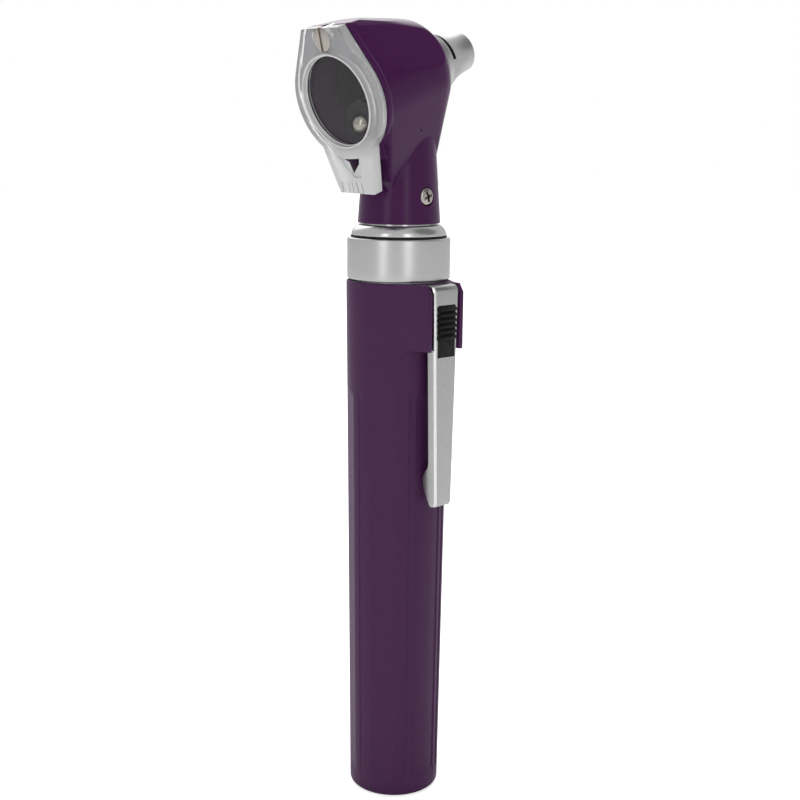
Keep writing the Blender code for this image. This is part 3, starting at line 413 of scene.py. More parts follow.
# The switch boss. BOSS_SPREAD is the angle in degrees where it meets the barrel; the shares
# are where its outline leaves the floor, reaches the cheek's face and leaves it.
BOSS_BOTTOM, BOSS_SPREAD = 92.1, 50.0
CHEEK_FACE_X, CHEEK_INNER_Y, CHEEK_OUTER_Y = 13.0, 3.75, 4.7
BOSS_FLOOR_X, BOSS_BACK_R, FLARE_PULL_X = 10.55, 9.2, 10.1
FLOOR_SHARE, WALL_SHARE, FACE_SHARE = 0.28, 0.42, 0.52


def handle_radius(height):
    """The barrel tapers evenly from its top to its foot."""
    return HANDLE_R_FOOT + (HANDLE_R_TOP - HANDLE_R_FOOT) * height / HANDLE_TOP


def channel_depth(angle, radius):
    """Depth of the long channels at an angle from the clip's plane, in degrees, 0 to 90."""
    if angle <= SHALLOW_HALF + CHANNEL_WALL:
        deep = min(1.0, max(0.0, (DEEP_HALF + CHANNEL_WALL - angle) / CHANNEL_WALL))
        shallow = min(1.0, (SHALLOW_HALF + CHANNEL_WALL - angle) / CHANNEL_WALL)
        return CHANNEL_STEP * (deep + shallow)
    if abs(angle - FLAT_CENTER) < FLAT_HALF:
        chord = math.cos(math.radians(FLAT_HALF)) / math.cos(math.radians(angle - FLAT_CENTER))
        return radius * (1 - chord)
    if angle >= SIDE_START:
        return SIDE_DEPTH * min(1.0, (angle - SIDE_START) / CHANNEL_WALL)
    return 0.0


def handle_angles():
    """Angles round the handle, closer together at the channels' edges, symmetric both ways."""
    quarter = [i * 1.5 for i in range(61)]
    for edge in (DEEP_HALF, SHALLOW_HALF, SIDE_START):
        quarter += [edge, edge + CHANNEL_WALL]
    for edge in (FLAT_CENTER - FLAT_HALF, FLAT_CENTER + FLAT_HALF):
        quarter += [edge - 0.05, edge + 0.05]
    return sorted({round((side + sign * a) % 360, 4) for a in quarter for side in (0, 180)
                   for sign in (1, -1)})


ANGLES = handle_angles()


def handle_section(height, radius, share=0.0):
    """The barrel's outline at a height, with the channels at a share of their depth."""
    points = []
    for angle in ANGLES:
        folded = angle % 180
        folded = min(folded, 180 - folded)
        here = radius - share * channel_depth(folded, radius)
        points.append((here * math.cos(math.radians(angle)),
                       here * math.sin(math.radians(angle)), height))
    return points


def boss_point(share, radius):
    """The boss's outline from the clip's plane, 0, to the barrel, 1: floor, cheek, flare."""
    if share <= FLOOR_SHARE:
        return BOSS_FLOOR_X, CHEEK_INNER_Y * share / FLOOR_SHARE
    if share <= WALL_SHARE:
        out = (share - FLOOR_SHARE) / (WALL_SHARE - FLOOR_SHARE)
        return BOSS_FLOOR_X + (CHEEK_FACE_X - BOSS_FLOOR_X) * out, CHEEK_INNER_Y
    if share <= FACE_SHARE:
        across = (share - WALL_SHARE) / (FACE_SHARE - WALL_SHARE)
        return CHEEK_FACE_X, CHEEK_INNER_Y + (CHEEK_OUTER_Y - CHEEK_INNER_Y) * across
    t = (share - FACE_SHARE) / (1 - FACE_SHARE)
    end = Vector((radius * math.cos(math.radians(BOSS_SPREAD)),
                  radius * math.sin(math.radians(BOSS_SPREAD))))
    start = Vector((CHEEK_FACE_X, CHEEK_OUTER_Y))
    middle = Vector((FLARE_PULL_X, CHEEK_OUTER_Y + 0.05))
    point = start * (1 - t) ** 2 + middle * 2 * t * (1 - t) + end * t ** 2
    return point.x, point.y


FLARE_STEPS = [FACE_SHARE + (1 - FACE_SHARE) * (i + 1) / 20 for i in range(20)]
BOSS_STEPS = [0, 0.07, 0.14, 0.21, FLOOR_SHARE, 0.35, WALL_SHARE, 0.47, FACE_SHARE, *FLARE_STEPS]


def boss_form():
    """The switch boss alone: two cheeks that flare into the barrel, chamfered at the top."""
    inset = 0.02
    side = [boss_point(share, HANDLE_R_TOP - inset) for share in BOSS_STEPS]
    back = arc((0, 0), BOSS_BACK_R, BOSS_SPREAD, 0, 20)[:-1]
    upper = side[1:] + back
    lower = [(x, -y) for x, y in reversed(upper)]
    outline = [side[0], *upper, (BOSS_BACK_R, 0.0), *lower]
    stations = ((BOSS_BOTTOM, CHEEK_FACE_X), (103.0, CHEEK_FACE_X), (HANDLE_TOP - inset, 12.0))
    return loft([[(min(x, reach), y, height) for x, y in outline]
                 for height, reach in stations])


def barrel():
    """The hollow barrel: rounded foot, channels that fade out at both ends, lip and bore."""
    fillet = arc((HANDLE_R_FOOT - BASE_FILLET, BASE_FILLET), BASE_FILLET, -90, 0, 8)
    sections = [handle_section(height, radius) for radius, height in fillet]
    steps = 10
    stations = [(CHANNEL_BOTTOM + CHANNEL_FADE * i / steps, i / steps) for i in range(steps + 1)]
    stations += [(height, 1) for height in (20, 40, 60, CHANNEL_TOP - CHANNEL_FADE)]
    stations += [(CHANNEL_TOP - CHANNEL_FADE + CHANNEL_FADE * i / steps, 1 - i / steps)
                 for i in range(1, steps + 1)]
    stations += [(90, 0), (97, 0)]
    sections += [handle_section(height, handle_radius(height), share)
                 for height, share in stations]
    lip = arc((HANDLE_R_TOP - TOP_LIP, HANDLE_TOP - TOP_LIP), TOP_LIP, 0, 90, 5)
    mouth = [(MOUTH_R, HANDLE_TOP), (MOUTH_R, MOUTH_FLOOR), (BORE_R, MOUTH_FLOOR),
             (BORE_R, BASE_THICK)]
    sections += [handle_section(height, radius) for radius, height in lip + mouth]
    return loft(sections)


def make_handle():
    """Barrel and boss, with the switch's window, the contact strip's groove and the channel."""
    window = block((6.0, -2.2, 91.5), (11.5, 2.2, 100.9))
    groove = block((6.0, -1.5, BASE_THICK), (7.95, 1.5, 95.0))
    channel = block((BOSS_FLOOR_X, -CHEEK_INNER_Y, BOSS_BOTTOM - 1),
                    (14.0, CHEEK_INNER_Y, HANDLE_TOP + 1))
    mesh = combine(barrel(), [("UNION", boss_form()), ("DIFFERENCE", channel),
                              ("DIFFERENCE", window), ("DIFFERENCE", groove)])
    mesh = bevelled(mesh, 0.16, 3, 40)
    piece("handle_body", mesh, plum_handle, "handle", ["handle_shell"])


def make_collar():
    """The satin collar with eased edges, and the spigot that goes down into the handle."""
    low, high, radius, edge = 104.9, 112.9, 10.0, 0.35
    bore_r, spigot_r, spigot_bore_r, spigot_low = 7.95, 8.6, 7.5, 102.5
    profile = [(bore_r, high)]
    profile += arc((radius - edge, high - edge), edge, 90, 0, 6)
    profile += [(radius, 111.0), (radius, 107.0)]
    profile += arc((radius - edge, low + edge), edge, 0, -90, 6)
    profile += [(spigot_r, low), (spigot_r, spigot_low), (spigot_bore_r, spigot_low),
                (spigot_bore_r, 105.9), (bore_r, 106.4)]
    piece("collar", turned(profile, 192), satin_collar, "handle", ["neck_collar"])


# ---------------------------------------------------------------------------------------------
# Clip and switch
# ---------------------------------------------------------------------------------------------
CLIP_FACE, CLIP_ROOT_BACK, CLIP_ARM_BACK = 13.15, 10.85, 11.2
CLIP_TOP, CLIP_TOP_ROUND = 104.5, 1.2
CLIP_TOE_HALF, CLIP_TOE_Z, CLIP_WIDENING = 2.4, 64.0, 0.0264
SLOT_HALF, SLOT_BOTTOM, SLOT_TOP = 2.35, 90.85, 100.8
SWITCH_GAP = 0.06

# The curled toe: (height, outer x, inner x) up to where the arm is straight.
CLIP_TOE = [(61.50, 12.35, 12.05), (61.58, 12.75, 11.70), (61.85, 13.00, 11.40),
            (62.30, 13.12, 11.15), (63.00, CLIP_FACE, 10.75), (64.00, CLIP_FACE, 10.28),
            (65.00, CLIP_FACE, 9.90), (65.80, CLIP_FACE, 9.66), (66.40, CLIP_FACE, 9.58),
            (67.00, CLIP_FACE, 9.64), (67.60, CLIP_FACE, 9.86), (68.30, CLIP_FACE, 10.30),
            (69.00, CLIP_FACE, 10.86), (69.50, CLIP_FACE, 11.10), (70.20, CLIP_FACE, 11.19)]


def clip_half_width(height):
    return CLIP_TOE_HALF + (height - CLIP_TOE_Z) * CLIP_WIDENING


def clip_profile():
    """Side view of the clip as (height, outer x, inner x) stations, closer where it bends."""
    arm = [72 + 2 * i for i in range(8)] + [87.5 + 0.25 * i for i in range(18)] + [91.95]
    root = [92.5, 95, 98, 101, 103.2]
    center = (CLIP_FACE - CLIP_TOP_ROUND, CLIP_TOP - CLIP_TOP_ROUND)
    top = arc(center, CLIP_TOP_ROUND, 12, 90, 7)
    return [*CLIP_TOE, *((height, CLIP_FACE, CLIP_ARM_BACK) for height in arm),
            *((height, CLIP_FACE, CLIP_ROOT_BACK) for height in root),
            *((height, outer, CLIP_ROOT_BACK) for outer, height in top)]


def clip_section(height, outer, inner):
    """Chamfered front, drafted sides and eased back edges, at one height."""
    half = clip_half_width(height)
    depth, side, draft, ease = 0.50, 0.28, 0.20, 0.14
    depth = min(depth, (outer - inner) * 0.4)
    flank = half - draft
    corners = [(inner, half - ease), (inner + ease, half), (outer - depth, flank),
               (outer, flank - side)]
    return [(x, -y, height) for x, y in corners] + [(x, y, height) for x, y in corners[::-1]]


def make_clip():
    """The clip in one piece; it bends over the few millimetres under the switch boss."""
    mesh = loft([clip_section(*station) for station in clip_profile()])
    slot = block((10, -SLOT_HALF, SLOT_BOTTOM), (14, SLOT_HALF, SLOT_TOP))
    mesh = bevelled(combine(mesh, [("DIFFERENCE", slot)]), 0.08, 2, 22)
    clip = piece("pocket_clip", mesh, casting, None, ["clip_root", "clip_arm"])
    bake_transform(clip)
    clip.data.materials.append(painted_highlight_metal)     # painted highlight: a brighter, glossier metal on the front chamfers that face the light
    # the chamfer faces that turn towards the front and side take the painted highlight
    for face in clip.data.polygons:
        if 0.30 < face.normal.x < 0.70 and abs(face.normal.y) > 0.70:
            face.material_index = 1


def make_switch():
    """The fixed black track in the clip's slot, and the ribbed button that slides on it."""
    half = SLOT_HALF - SWITCH_GAP
    track = block((CLIP_ROOT_BACK, -half, SLOT_BOTTOM + SWITCH_GAP),
                  (13.0, half, SLOT_TOP - SWITCH_GAP))
    way = block((10, -0.75, 94.8), (14, 0.75, 99.8))
    mesh = bevelled(combine(track, [("DIFFERENCE", way)]), 0.06, 2)
    piece("switch_plate", mesh, black, "handle", ["switch_track"])

    low, high, teeth = 94.15, 100.6, 6
    pitch = (high - low) / teeth
    base, valley, tip = 13.04, 13.28, 13.8
    profile = [(base, high), (base, low)]
    for tooth in range(teeth):
        z = low + tooth * pitch
        profile += [(valley, z + 0.02), (tip - 0.16, z + 0.18 * pitch), (tip, z + 0.32 * pitch),
                    (tip, z + 0.55 * pitch), (tip - 0.10, z + 0.68 * pitch),
                    (valley + 0.1, z + 0.9 * pitch)]
    profile.append((valley, high))
    side_play = 0.05
    button = prism([(x, -z) for x, z in profile], -half + side_play, half - side_play, ALONG_Y)
    stem = block((10.5, -0.6, 98.0), (13.1, 0.6, 99.6))
    button = bevelled(combine(button, [("UNION", stem)]), 0.07, 2, 30)
    piece("slide_button", button, black, "switch", ["switch_button"])


# ---------------------------------------------------------------------------------------------
# Head
# ---------------------------------------------------------------------------------------------
DOME_R, DOME_CENTER_Y = 10.2, 0.3
FLANGE_FRONT, FLANGE_BACK, FLANGE_R = -14.7, -13.75, 10.9
DOME_PROFILE = [(0.3, 10.2), (2.0, 10.0), (3.2, 9.6), (4.2, 8.95), (5.5, 7.8), (7.0, 6.25),
                (8.3, 4.8)]
PLATE_FRONT, PLATE_BACK, PLATE_R = -17.1, -15.0, 10.75
PLATE_TOP, PLATE_TOP_HALF = 13.35, 4.75
SHOULDER_FACET, SHOULDER_NORMAL = 9.35, (0.861, 0.106, 0.497)
CROWN_CENTER_Z, CROWN_R, CROWN_HALF_ANGLE, CROWN_LEAN = 139.0, 14.0, 55, math.radians(3)
NOSE_DROP = -0.45
NECK_SCREW_Z = 120.8
NOSE = SIGHT @ Matrix.Translation((0, 0, NOSE_DROP)) @ ALONG_Y
NECK_SCREW = Matrix.Translation((0, 0, NECK_SCREW_Z)) @ Matrix.Rotation(math.pi / 2, 4, "Y")


def shield_outline(radius, top, top_half, arc_bottom=-58, steps=64):
    """Flat top, straight shoulders tangent to a circle, and the circle's arc below them."""
    reach = math.hypot(top_half, top)
    tangent = math.degrees(math.atan2(top, top_half) - math.acos(radius / reach))
    right = arc((0, 0), radius, arc_bottom, tangent, steps)
    return right + [(top_half, top), (-top_half, top)] + [(-x, y) for x, y in reversed(right)]


def dome_radius(along, radius, turn):
    """The dome is a sphere below and tapers to the nose above; along is the sight distance."""
    if along <= DOME_PROFILE[0][0]:
        return radius
    taper = DOME_PROFILE[-1][1] * (radius / DOME_R)
    for (low, low_r), (high, high_r) in zip(DOME_PROFILE, DOME_PROFILE[1:]):
        if low <= along <= high:
            taper = low_r + (high_r - low_r) * (along - low) / (high - low)
    upper = min(1.0, max(0.0, (math.sin(turn) + 1.0) / 0.75))     # 0 at the very bottom
    return radius + (min(radius, taper) - radius) * upper


def head_hull():
    """The hull of the shield outline, the tapered dome and the shoulders that run to the neck."""
    bm = bmesh.new()
    for x, z in shield_outline(FLANGE_R - 0.15, PLATE_TOP - 0.1, PLATE_TOP_HALF):
        bm.verts.new((x, FLANGE_BACK - 0.2, z))
    rings, around = 72, 144
    for i in range(1, rings):
        polar = math.pi * i / rings
        along = DOME_R * math.cos(polar) + DOME_CENTER_Y
        for k in range(around):
            turn = math.tau * k / around
            radius = dome_radius(along, DOME_R * math.sin(polar), turn)
            bm.verts.new((radius * math.cos(turn), along, radius * math.sin(turn)))
    to_head = SIGHT.inverted()
    for x, y, z in ((4.0, -12.5, 152.8), (4.4, -6.3, 121.6), (4.5, 5.2, 127.5), (1, 6.9, 127.5)):
        for sign in (-1, 1):
            bm.verts.new(to_head @ Vector((sign * x, y, z)))
    bmesh.ops.convex_hull(bm, input=bm.verts)
    loose = [vert for vert in bm.verts if not vert.link_faces]
    bmesh.ops.delete(bm, geom=loose, context="VERTS")
    return mesh_from(bm, SIGHT)


def head_outside():
    """The head's outside: crown and shoulder facets cut, flange, neck and two ribs joined."""
    crown = arc((0, CROWN_CENTER_Z), CROWN_R, 90 - CROWN_HALF_ANGLE, 90 + CROWN_HALF_ANGLE, 48)
    edge_z = crown[0][1]
    sky = [(25, edge_z), *crown, (-25, edge_z), (-25, 170), (25, 170)]
    lean = Matrix.Translation((0, 0, 0.4)) @ Matrix.Rotation(math.pi / 2 + CROWN_LEAN, 4, "X")
    tools = [("DIFFERENCE", prism(sky, -30, 30, lean))]
    for side in (-1, 1):
        normal = Vector(SHOULDER_NORMAL).normalized()
        normal.x *= side
        turn = normal.to_track_quat("Z", "Y").to_matrix().to_4x4()
        place = SIGHT @ Matrix.Translation(normal * SHOULDER_FACET) @ turn
        tools.append(("DIFFERENCE", block((-25, -25, 0), (25, 25, 20), place)))
    flange = shield_outline(FLANGE_R, PLATE_TOP, PLATE_TOP_HALF)
    flange = [(x, max(y, -10.2)) for x, y in flange]
    tools.append(("UNION", slab(flange, FLANGE_FRONT, FLANGE_BACK, SIGHT)))
    neck = [(0, 115.6), (8.0, 115.6), (6.75, 133.0), (5.0, 135.0), (0, 135.0)]
    tools.append(("UNION", turned(neck, 160)))
    for side in (-1, 1):
        tools.append(("UNION", block((side * 5.5 - 0.45, FLANGE_FRONT, -11.6),
                                     (side * 5.5 + 0.45, FLANGE_BACK + 3, -8.5), SIGHT)))
    return with_modifiers(
        combine(head_hull(), tools),
        ("REMESH", {"mode": "VOXEL", "voxel_size": 0.15, "use_smooth_shade": True}),
        ("SMOOTH", {"factor": 0.5, "iterations": 5}),
        ("DECIMATE", {"ratio": 0.35}))


def make_head():
    """The head with its ways cut: window, nose seat, rear flat, dimple, bore and screws."""
    cavity = [(0, -18), (8.6, -18), (8.6, -1.0), (7.6, 4.5), (4.9, 6.9), (0, 6.9)]
    ways = [("DIFFERENCE", turned(cavity, 128, SIGHT @ ALONG_Y))]
    seat = [(0, 3), (5.3, 3), (5.3, 14), (0, 14)]
    ways.append(("DIFFERENCE", turned(seat, 96, NOSE)))
    ways.append(("DIFFERENCE", block((-12, 8.3, -12), (12, 20, 12), SIGHT)))
    dimple = Matrix.Translation((7.2, -1.9, 133.0)) @ Matrix.Rotation(math.pi / 2, 4, "Y")
    ways.append(("DIFFERENCE", turned([(0, -1.2), (0.45, 2.0), (0, 2.0)], 5, dimple)))
    bore = [(0, 114), (6.6, 114), (6.6, 124.4), (4.6, 127), (4.6, 137), (0, 137)]
    ways.append(("DIFFERENCE", turned(bore, 96)))
    way = [(0, 5), (1.2, 5), (1.2, 6.75), (1.8, 6.75), (1.8, 9), (0, 9)]
    ways.append(("DIFFERENCE", turned(way, 64, NECK_SCREW)))
    way = [(0, -16), (2.3, -16), (2.3, -13.0), (1.4, -13.0), (1.4, -10.2), (0, -10.2)]
    ways.append(("DIFFERENCE", turned(way, 64, PIVOT @ ALONG_Y)))
    piece("head_body", combine(head_outside(), ways), plum_head, "head", ["head_shell"],
          sharp=40)


def make_seam_shade():
    """A thin black ring in the seam under the polished ring: painted shade, a dark line where the
    seam is in shadow.
    """
    ring = [(8.3, 112.8), (9.3, 112.8), (9.3, 113.3), (8.3, 113.3)]
    piece("collar_seam_shade", turned(ring, 160), black, "handle")


def make_ferrule():
    """The polished domed ring, with its spigots into the collar and the neck."""
    dome = [(9.08, 113.2), (9.18, 113.3), (9.20, 113.5), (9.16, 113.8), (9.05, 114.1),
            (8.90, 114.4), (8.68, 114.7), (8.47, 114.92), (8.31, 115.07), (8.18, 115.18),
            (8.05, 115.26), (7.8, 115.3)]
    profile = [(7.65, 108.2), (7.65, 113.2), *dome, (6.3, 115.3), (6.3, 123.6), (5.0, 123.6),
               (5.0, 113.6), (6.3, 113.2), (6.3, 108.2)]
    piece("polished_ring", turned(profile, 192), chrome, "head", ["base_ferrule"],
          sharp=50)


def make_nose():
    """The flared nose with its bayonet slot, and a black liner that shows in the slot."""
    tip, tip_r, tip_round, base_r, base_y = 17.2, 3.85, 0.25, 6.0, 8.6
    back, bore_r, tip_bore_r, power = 7.5, 4.0, 3.0, 1.9
    flare = []
    for i in range(25):
        t = i / 24
        flare.append((tip_r + (base_r - tip_r) * (1 - t) ** power,
                      base_y + (tip - 0.3 - base_y) * t))
    lip = arc((tip_r - tip_round, tip - tip_round), tip_round, 20, 90, 5)
    profile = [(bore_r, back), (5.8, back), (5.9, 7.6), (5.95, base_y - 0.2), *flare, *lip,
               (3.2, tip), (tip_bore_r, tip - 0.2), (tip_bore_r, 12.5), (bore_r, 10.5)]
    mesh = turned(profile, 160, NOSE)
    cut = [(3.6, 9.3), (7.5, 9.3), (7.5, 10.35), (3.6, 10.35)]
    lead = [(5.1, 9.5), (5.9, 8.9), (7.5, 8.9), (7.5, 9.5)]
    mesh = combine(mesh, [("DIFFERENCE", swept(cut, -4, -118, 60, NOSE)),
                          ("DIFFERENCE", swept(lead, -5, -117, 60, NOSE))])
    mesh = bevelled(mesh, 0.05, 2, 40)
    piece("nose", mesh, satin_nose, "head", ["speculum_holder"])
    liner = turned([(3.3, 7.8), (3.9, 7.8), (3.9, 10.4), (3.3, 10.4)], 96, NOSE)
    piece("nose_liner", liner, black, "head")


def make_screws():
    """The cross-head neck screw and the slotted pivot screw."""
    profile = [(0, 5.6), (0.9, 5.6), (0.9, 7.05), (1.62, 7.05), (1.62, 7.45), (1.5, 7.6),
               (1.1, 7.75), (0.5, 7.82), (0, 7.84)]
    mesh = turned(profile, 64, NECK_SCREW)
    turn = Matrix.Translation((0, 0, NECK_SCREW_Z)) @ Matrix.Rotation(math.radians(20), 4, "X")
    arms = [("DIFFERENCE", block((7.0, -y, -z), (8.6, y, z), turn))
            for y, z in ((1.05, 0.26), (0.26, 1.05))]
    mesh = bevelled(combine(mesh, arms), 0.05, 2)
    piece("neck_screw_head", mesh, nickel, "head", ["neck_screw"])

    profile = [(0, -17.2), (1.95, -17.2), (2.12, -17.12), (2.2, -17.0), (2.2, -16.5),
               (1.1, -16.5), (1.1, -10.6), (0, -10.6)]
    mesh = turned(profile, 64, PIVOT @ ALONG_Y)
    slot = block((-0.3, -18, -3), (0.3, -16.85, 3),
                 PIVOT @ Matrix.Rotation(math.radians(6.6), 4, "Y"))
    mesh = bevelled(combine(mesh, [("DIFFERENCE", slot)]), 0.05, 2)
    piece("pivot_screw_head", mesh, nickel, "head", ["pivot_screw"])


def make_inside():
    """What shows through the lens: a black funnel, its round boss and a ball-headed screw."""
    funnel_r, boss_z = 8.2, -5.6
    lathe = SIGHT @ ALONG_Y
    boss_lathe = SIGHT @ Matrix.Translation((0, 0, boss_z)) @ ALONG_Y
    funnel = [(funnel_r, -9.2), (funnel_r, -1.2), (3.5, 6.2), (3.0, 6.2), (7.5, -2.0),
              (7.5, -9.2)]
    body = turned(funnel, 96, lathe)
    boss = slab(arc((0, boss_z), 4.3, 0, 355, 71), -12.0, -3.5, SIGHT)
    trim = turned([(0, -13), (funnel_r, -13), (funnel_r, 0), (0, 0)], 96, lathe)
    boss = combine(boss, [("INTERSECT", trim)])
    way = turned([(0, -13), (1.65, -13), (1.65, -8), (0, -8)], 48, boss_lathe)
    mesh = bevelled(combine(body, [("UNION", boss), ("DIFFERENCE", way)]), 0.12, 3)
    piece("light_funnel", mesh, funnel_black, "head", ["inner_funnel"])
    ball_r, ball_center = 2.25, -11.6
    ball = [(0, ball_center - ball_r)]
    ball += [(ball_r * math.sin(a), ball_center - ball_r * math.cos(a))
             for a in (math.radians(8 * i) for i in range(1, 11))]
    ball += [(1.35, -11.2), (1.35, -8.3), (0, -8.3)]
    piece("funnel_screw_head", turned(ball, 64, boss_lathe), ball_steel, "head",
          ["funnel_screw"], sharp=60)


def make_contact_spring():
    """The lamp's contact spring, with closed end coils."""
    low, high = (Vector(corner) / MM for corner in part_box("contact_spring"))
    wire, turns, steps, end_pitch, travel = 0.18, 4, 32, 0.3, 0.9
    radius = (high.x - low.x) / 2 - wire
    sections = []
    for i in range(turns * steps + 1):
        share = i / (turns * steps)
        turn = math.tau * turns * share
        rise = min(1.0, max(0.0, (share * turns - 0.5) / (turns - 1)))
        lift = low.z + wire + (high.z - low.z - 2 * wire) * rise
        lift += wire * end_pitch * (share - rise)
        outward = Vector((math.cos(turn), math.sin(turn), 0))
        sections.append([outward * (radius + wire * math.cos(side))
                         + Vector((0, 0, lift + wire * math.sin(side)))
                         for side in (math.tau * k / 12 for k in range(12))])
    spring = piece("plunger_spring", loft(sections), steel, "head", ["contact_spring"])
    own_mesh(spring)


# ---------------------------------------------------------------------------------------------
# Magnifier
# ---------------------------------------------------------------------------------------------
LENS_LATHE = PLATE @ Matrix.Translation((0, 0, -PIVOT_HEIGHT)) @ ALONG_Y
LENS_R, LENS_WAY_R = 8.4, 8.9
GROOVE_FOOT, GROOVE_HEAD = -19.0, -15.3
# The foot's grooves: (across, half width, depth).
GROOVES = [(-3.75, 0.22, 0.7), (-1.95, 0.14, 0.2), (-0.95, 0.14, 0.25), (0.4, 0.14, 0.2),
           (1.7, 0.14, 0.2)]


def from_pivot(outline):
    """An outline measured from the lens's centre, measured from the plate's pivot instead."""
    return [(x, z - PIVOT_HEIGHT) for x, z in outline]


def plate_ways():
    """What is cut out of the magnifier's plate, as boolean tools."""
    lens_way = [(0, -20), (LENS_WAY_R, -20), (LENS_WAY_R, -10), (0, -10)]
    pivot_way = [(0, -20), (2.3, -20), (2.3, -10), (0, -10)]
    tools = [turned(lens_way, 160, LENS_LATHE), turned(pivot_way, 64, PLATE @ ALONG_Y)]
    pocket = arc((0, 0), PLATE_R, -108, -74, 24) + [(2.0, -14.3), (0.05, -14.4)]
    tools.append(slab(from_pivot(pocket), -20, PLATE_FRONT + 0.4, PLATE))
    notch = [(-1.45, -10.84), (2.6, -10.65), (2.3, -11.7), (0.37, -13.5), (-0.21, -11.3)]
    lean_x, lean_z = -1.165, -0.369          # the notch runs through the plate at a slant
    sections = []
    for depth in (-19.0, -13.5):
        shift = depth - PLATE_FRONT
        sections.append([(x + lean_x * shift, depth, z + lean_z * shift)
                         for x, z in from_pivot(notch)])
    tools.append(loft(sections, PLATE))
    for x, half, depth in GROOVES:
        groove = [(x - half, GROOVE_FOOT), (x + half, GROOVE_FOOT), (x + half, GROOVE_HEAD),
                  (x - half, GROOVE_HEAD)]
        tools.append(slab(from_pivot(groove), -18, PLATE_FRONT + depth, PLATE))
    return [("DIFFERENCE", tool) for tool in tools]


def make_plate():
    """The frosted shield-shaped plate with its thumb foot."""
    shield = shield_outline(PLATE_R, PLATE_TOP, PLATE_TOP_HALF, arc_bottom=-52)
    foot = [(6.5, -8.8), (4.6, -17.5)]
    outline = from_pivot(foot[::-1] + shield + [(-x, z) for x, z in foot])
    mesh = combine(slab(outline, PLATE_FRONT, PLATE_BACK, PLATE), plate_ways())
    piece("lens_plate_body", bevelled(mesh, 0.12, 3, 30), acrylic, "lens_plate",
          ["viewing_plate"])


def make_lens():
    """The clear seat with two whitish beads on its edges as painted highlights, and the lens,
    domed towards the examiner.
    """
    ring = [(8.44, -17.15), (8.85, -17.15), (8.85, -15.1), (8.44, -15.1)]
    piece("lens_rim", turned(ring, 192, LENS_LATHE), rim_acrylic, "lens_plate", ["lens_ring"])
    # two thin whitish beads give the seat's edges painted highlights
    bead_r = 0.11
    for name, radius, front in (("outer", 8.56, -17.18), ("inner", 8.36, -16.34)):
        bead = [(radius + bead_r * math.cos(a), front + bead_r * math.sin(a))
                for a in (math.tau * i / 12 for i in range(12))]
        piece("lens_highlight_bead_" + name, turned(bead, 192, LENS_LATHE), highlight_bead_acrylic, "lens_plate")

    front, back, sag, steps = -16.25, -15.45, 0.35, 16
    curve = (LENS_R ** 2 + sag ** 2) / (2 * sag)
    reach = math.asin(LENS_R / curve)
    lens = [(curve * math.sin(a), front + curve * (math.cos(reach) - math.cos(a)))
            for a in (reach * i / steps for i in range(steps + 1))]
    lens += [(LENS_R, back), (0, back)]
    piece("lens", turned(lens, 128, LENS_LATHE), glass, "lens_plate", ["magnifier_lens"],
          sharp=60)


# ---------------------------------------------------------------------------------------------
# Frame nodes that keep their own shape; only the materials are new
# ---------------------------------------------------------------------------------------------
KEPT = {
    "sliding_contact": brass, "contact_strip": brass, "base_contact": brass,
    "battery_spring": steel, "battery_lower": wrap, "battery_upper": wrap,
    "lamp_holder": black, "contact_plunger": brass,
    "lamp_base": brass, "lamp_bulb": bulb_glass, "light_guide": rod_acrylic, "pivot_bush": steel,
}


def dress_kept_nodes():
    """Give the hidden nodes their materials."""
    for name, mat in KEPT.items():
        mesh = nodes[name].data
        mesh.materials.clear()
        mesh.materials.append(mat)


# ---------------------------------------------------------------------------------------------
# Floor, light and camera
# ---------------------------------------------------------------------------------------------
def seen_directly(tree):
    """A socket that is 1 for rays with no diffuse or glossy bounce behind them, else 0."""
    path = tree.nodes.new("ShaderNodeLightPath")
    bounces = tree.nodes.new("ShaderNodeMath")
    bounces.operation = "ADD"
    tree.links.new(path.outputs["Diffuse Depth"], bounces.inputs[0])
    tree.links.new(path.outputs["Glossy Depth"], bounces.inputs[1])
    direct = tree.nodes.new("ShaderNodeMath")
    direct.operation = "LESS_THAN"
    direct.inputs[1].default_value = 0.5
    tree.links.new(bounces.outputs["Value"], direct.inputs[0])
    return direct.outputs["Value"]


def make_floor():
    """A plain pale floor: near white where it is seen, a softer grey for what it lights."""
    mesh = bpy.data.meshes.new("floor")
    reach, glow_strength = 3.0, 0.62
    mesh.from_pydata([(-reach, -reach, 0), (reach, -reach, 0), (reach, reach, 0),
                      (-reach, reach, 0)], [], [(0, 1, 2, 3)])
    n = Nodes("floor_look")
    tone = n.ramp(n.noise(3, 2), [(0.3, 0.92), (0.7, 0.95)])
    mix = n.add("ShaderNodeMix", data_type="RGBA")
    seen = seen_directly(n.tree)
    n.link(seen, mix.inputs["Factor"])
    mix.inputs["A"].default_value = (0.85, 0.85, 0.85, 1)
    n.link(tone, mix.inputs["B"])
    n.color(mix.outputs["Result"])
    glow = n.add("ShaderNodeMath", operation="MULTIPLY")
    n.link(seen, glow.inputs[0])
    glow.inputs[1].default_value = glow_strength
    n.link(glow.outputs["Value"], n.shader.inputs["Emission Strength"])
    n.set(Roughness=0.9, Specular_IOR_Level=0.0, Emission_Color=(1, 1, 1, 1))
    mesh.materials.append(n.material)
    floor = bpy.data.objects.new("floor", mesh)
    scene.collection.objects.link(floor)


# The studio tent's tone, and two soft-edged patches of it: direction, inner and outer angle in
# degrees, tone. The first darkens the shoulder's reflection, the second lights the crown's.
TENT_TONE = 0.55
TENT_PATCHES = [((0.55, 0.50, 0.66), 18, 34, 0.20),
                ((-0.70, 0.40, 0.62), 8, 36, 1.9)]


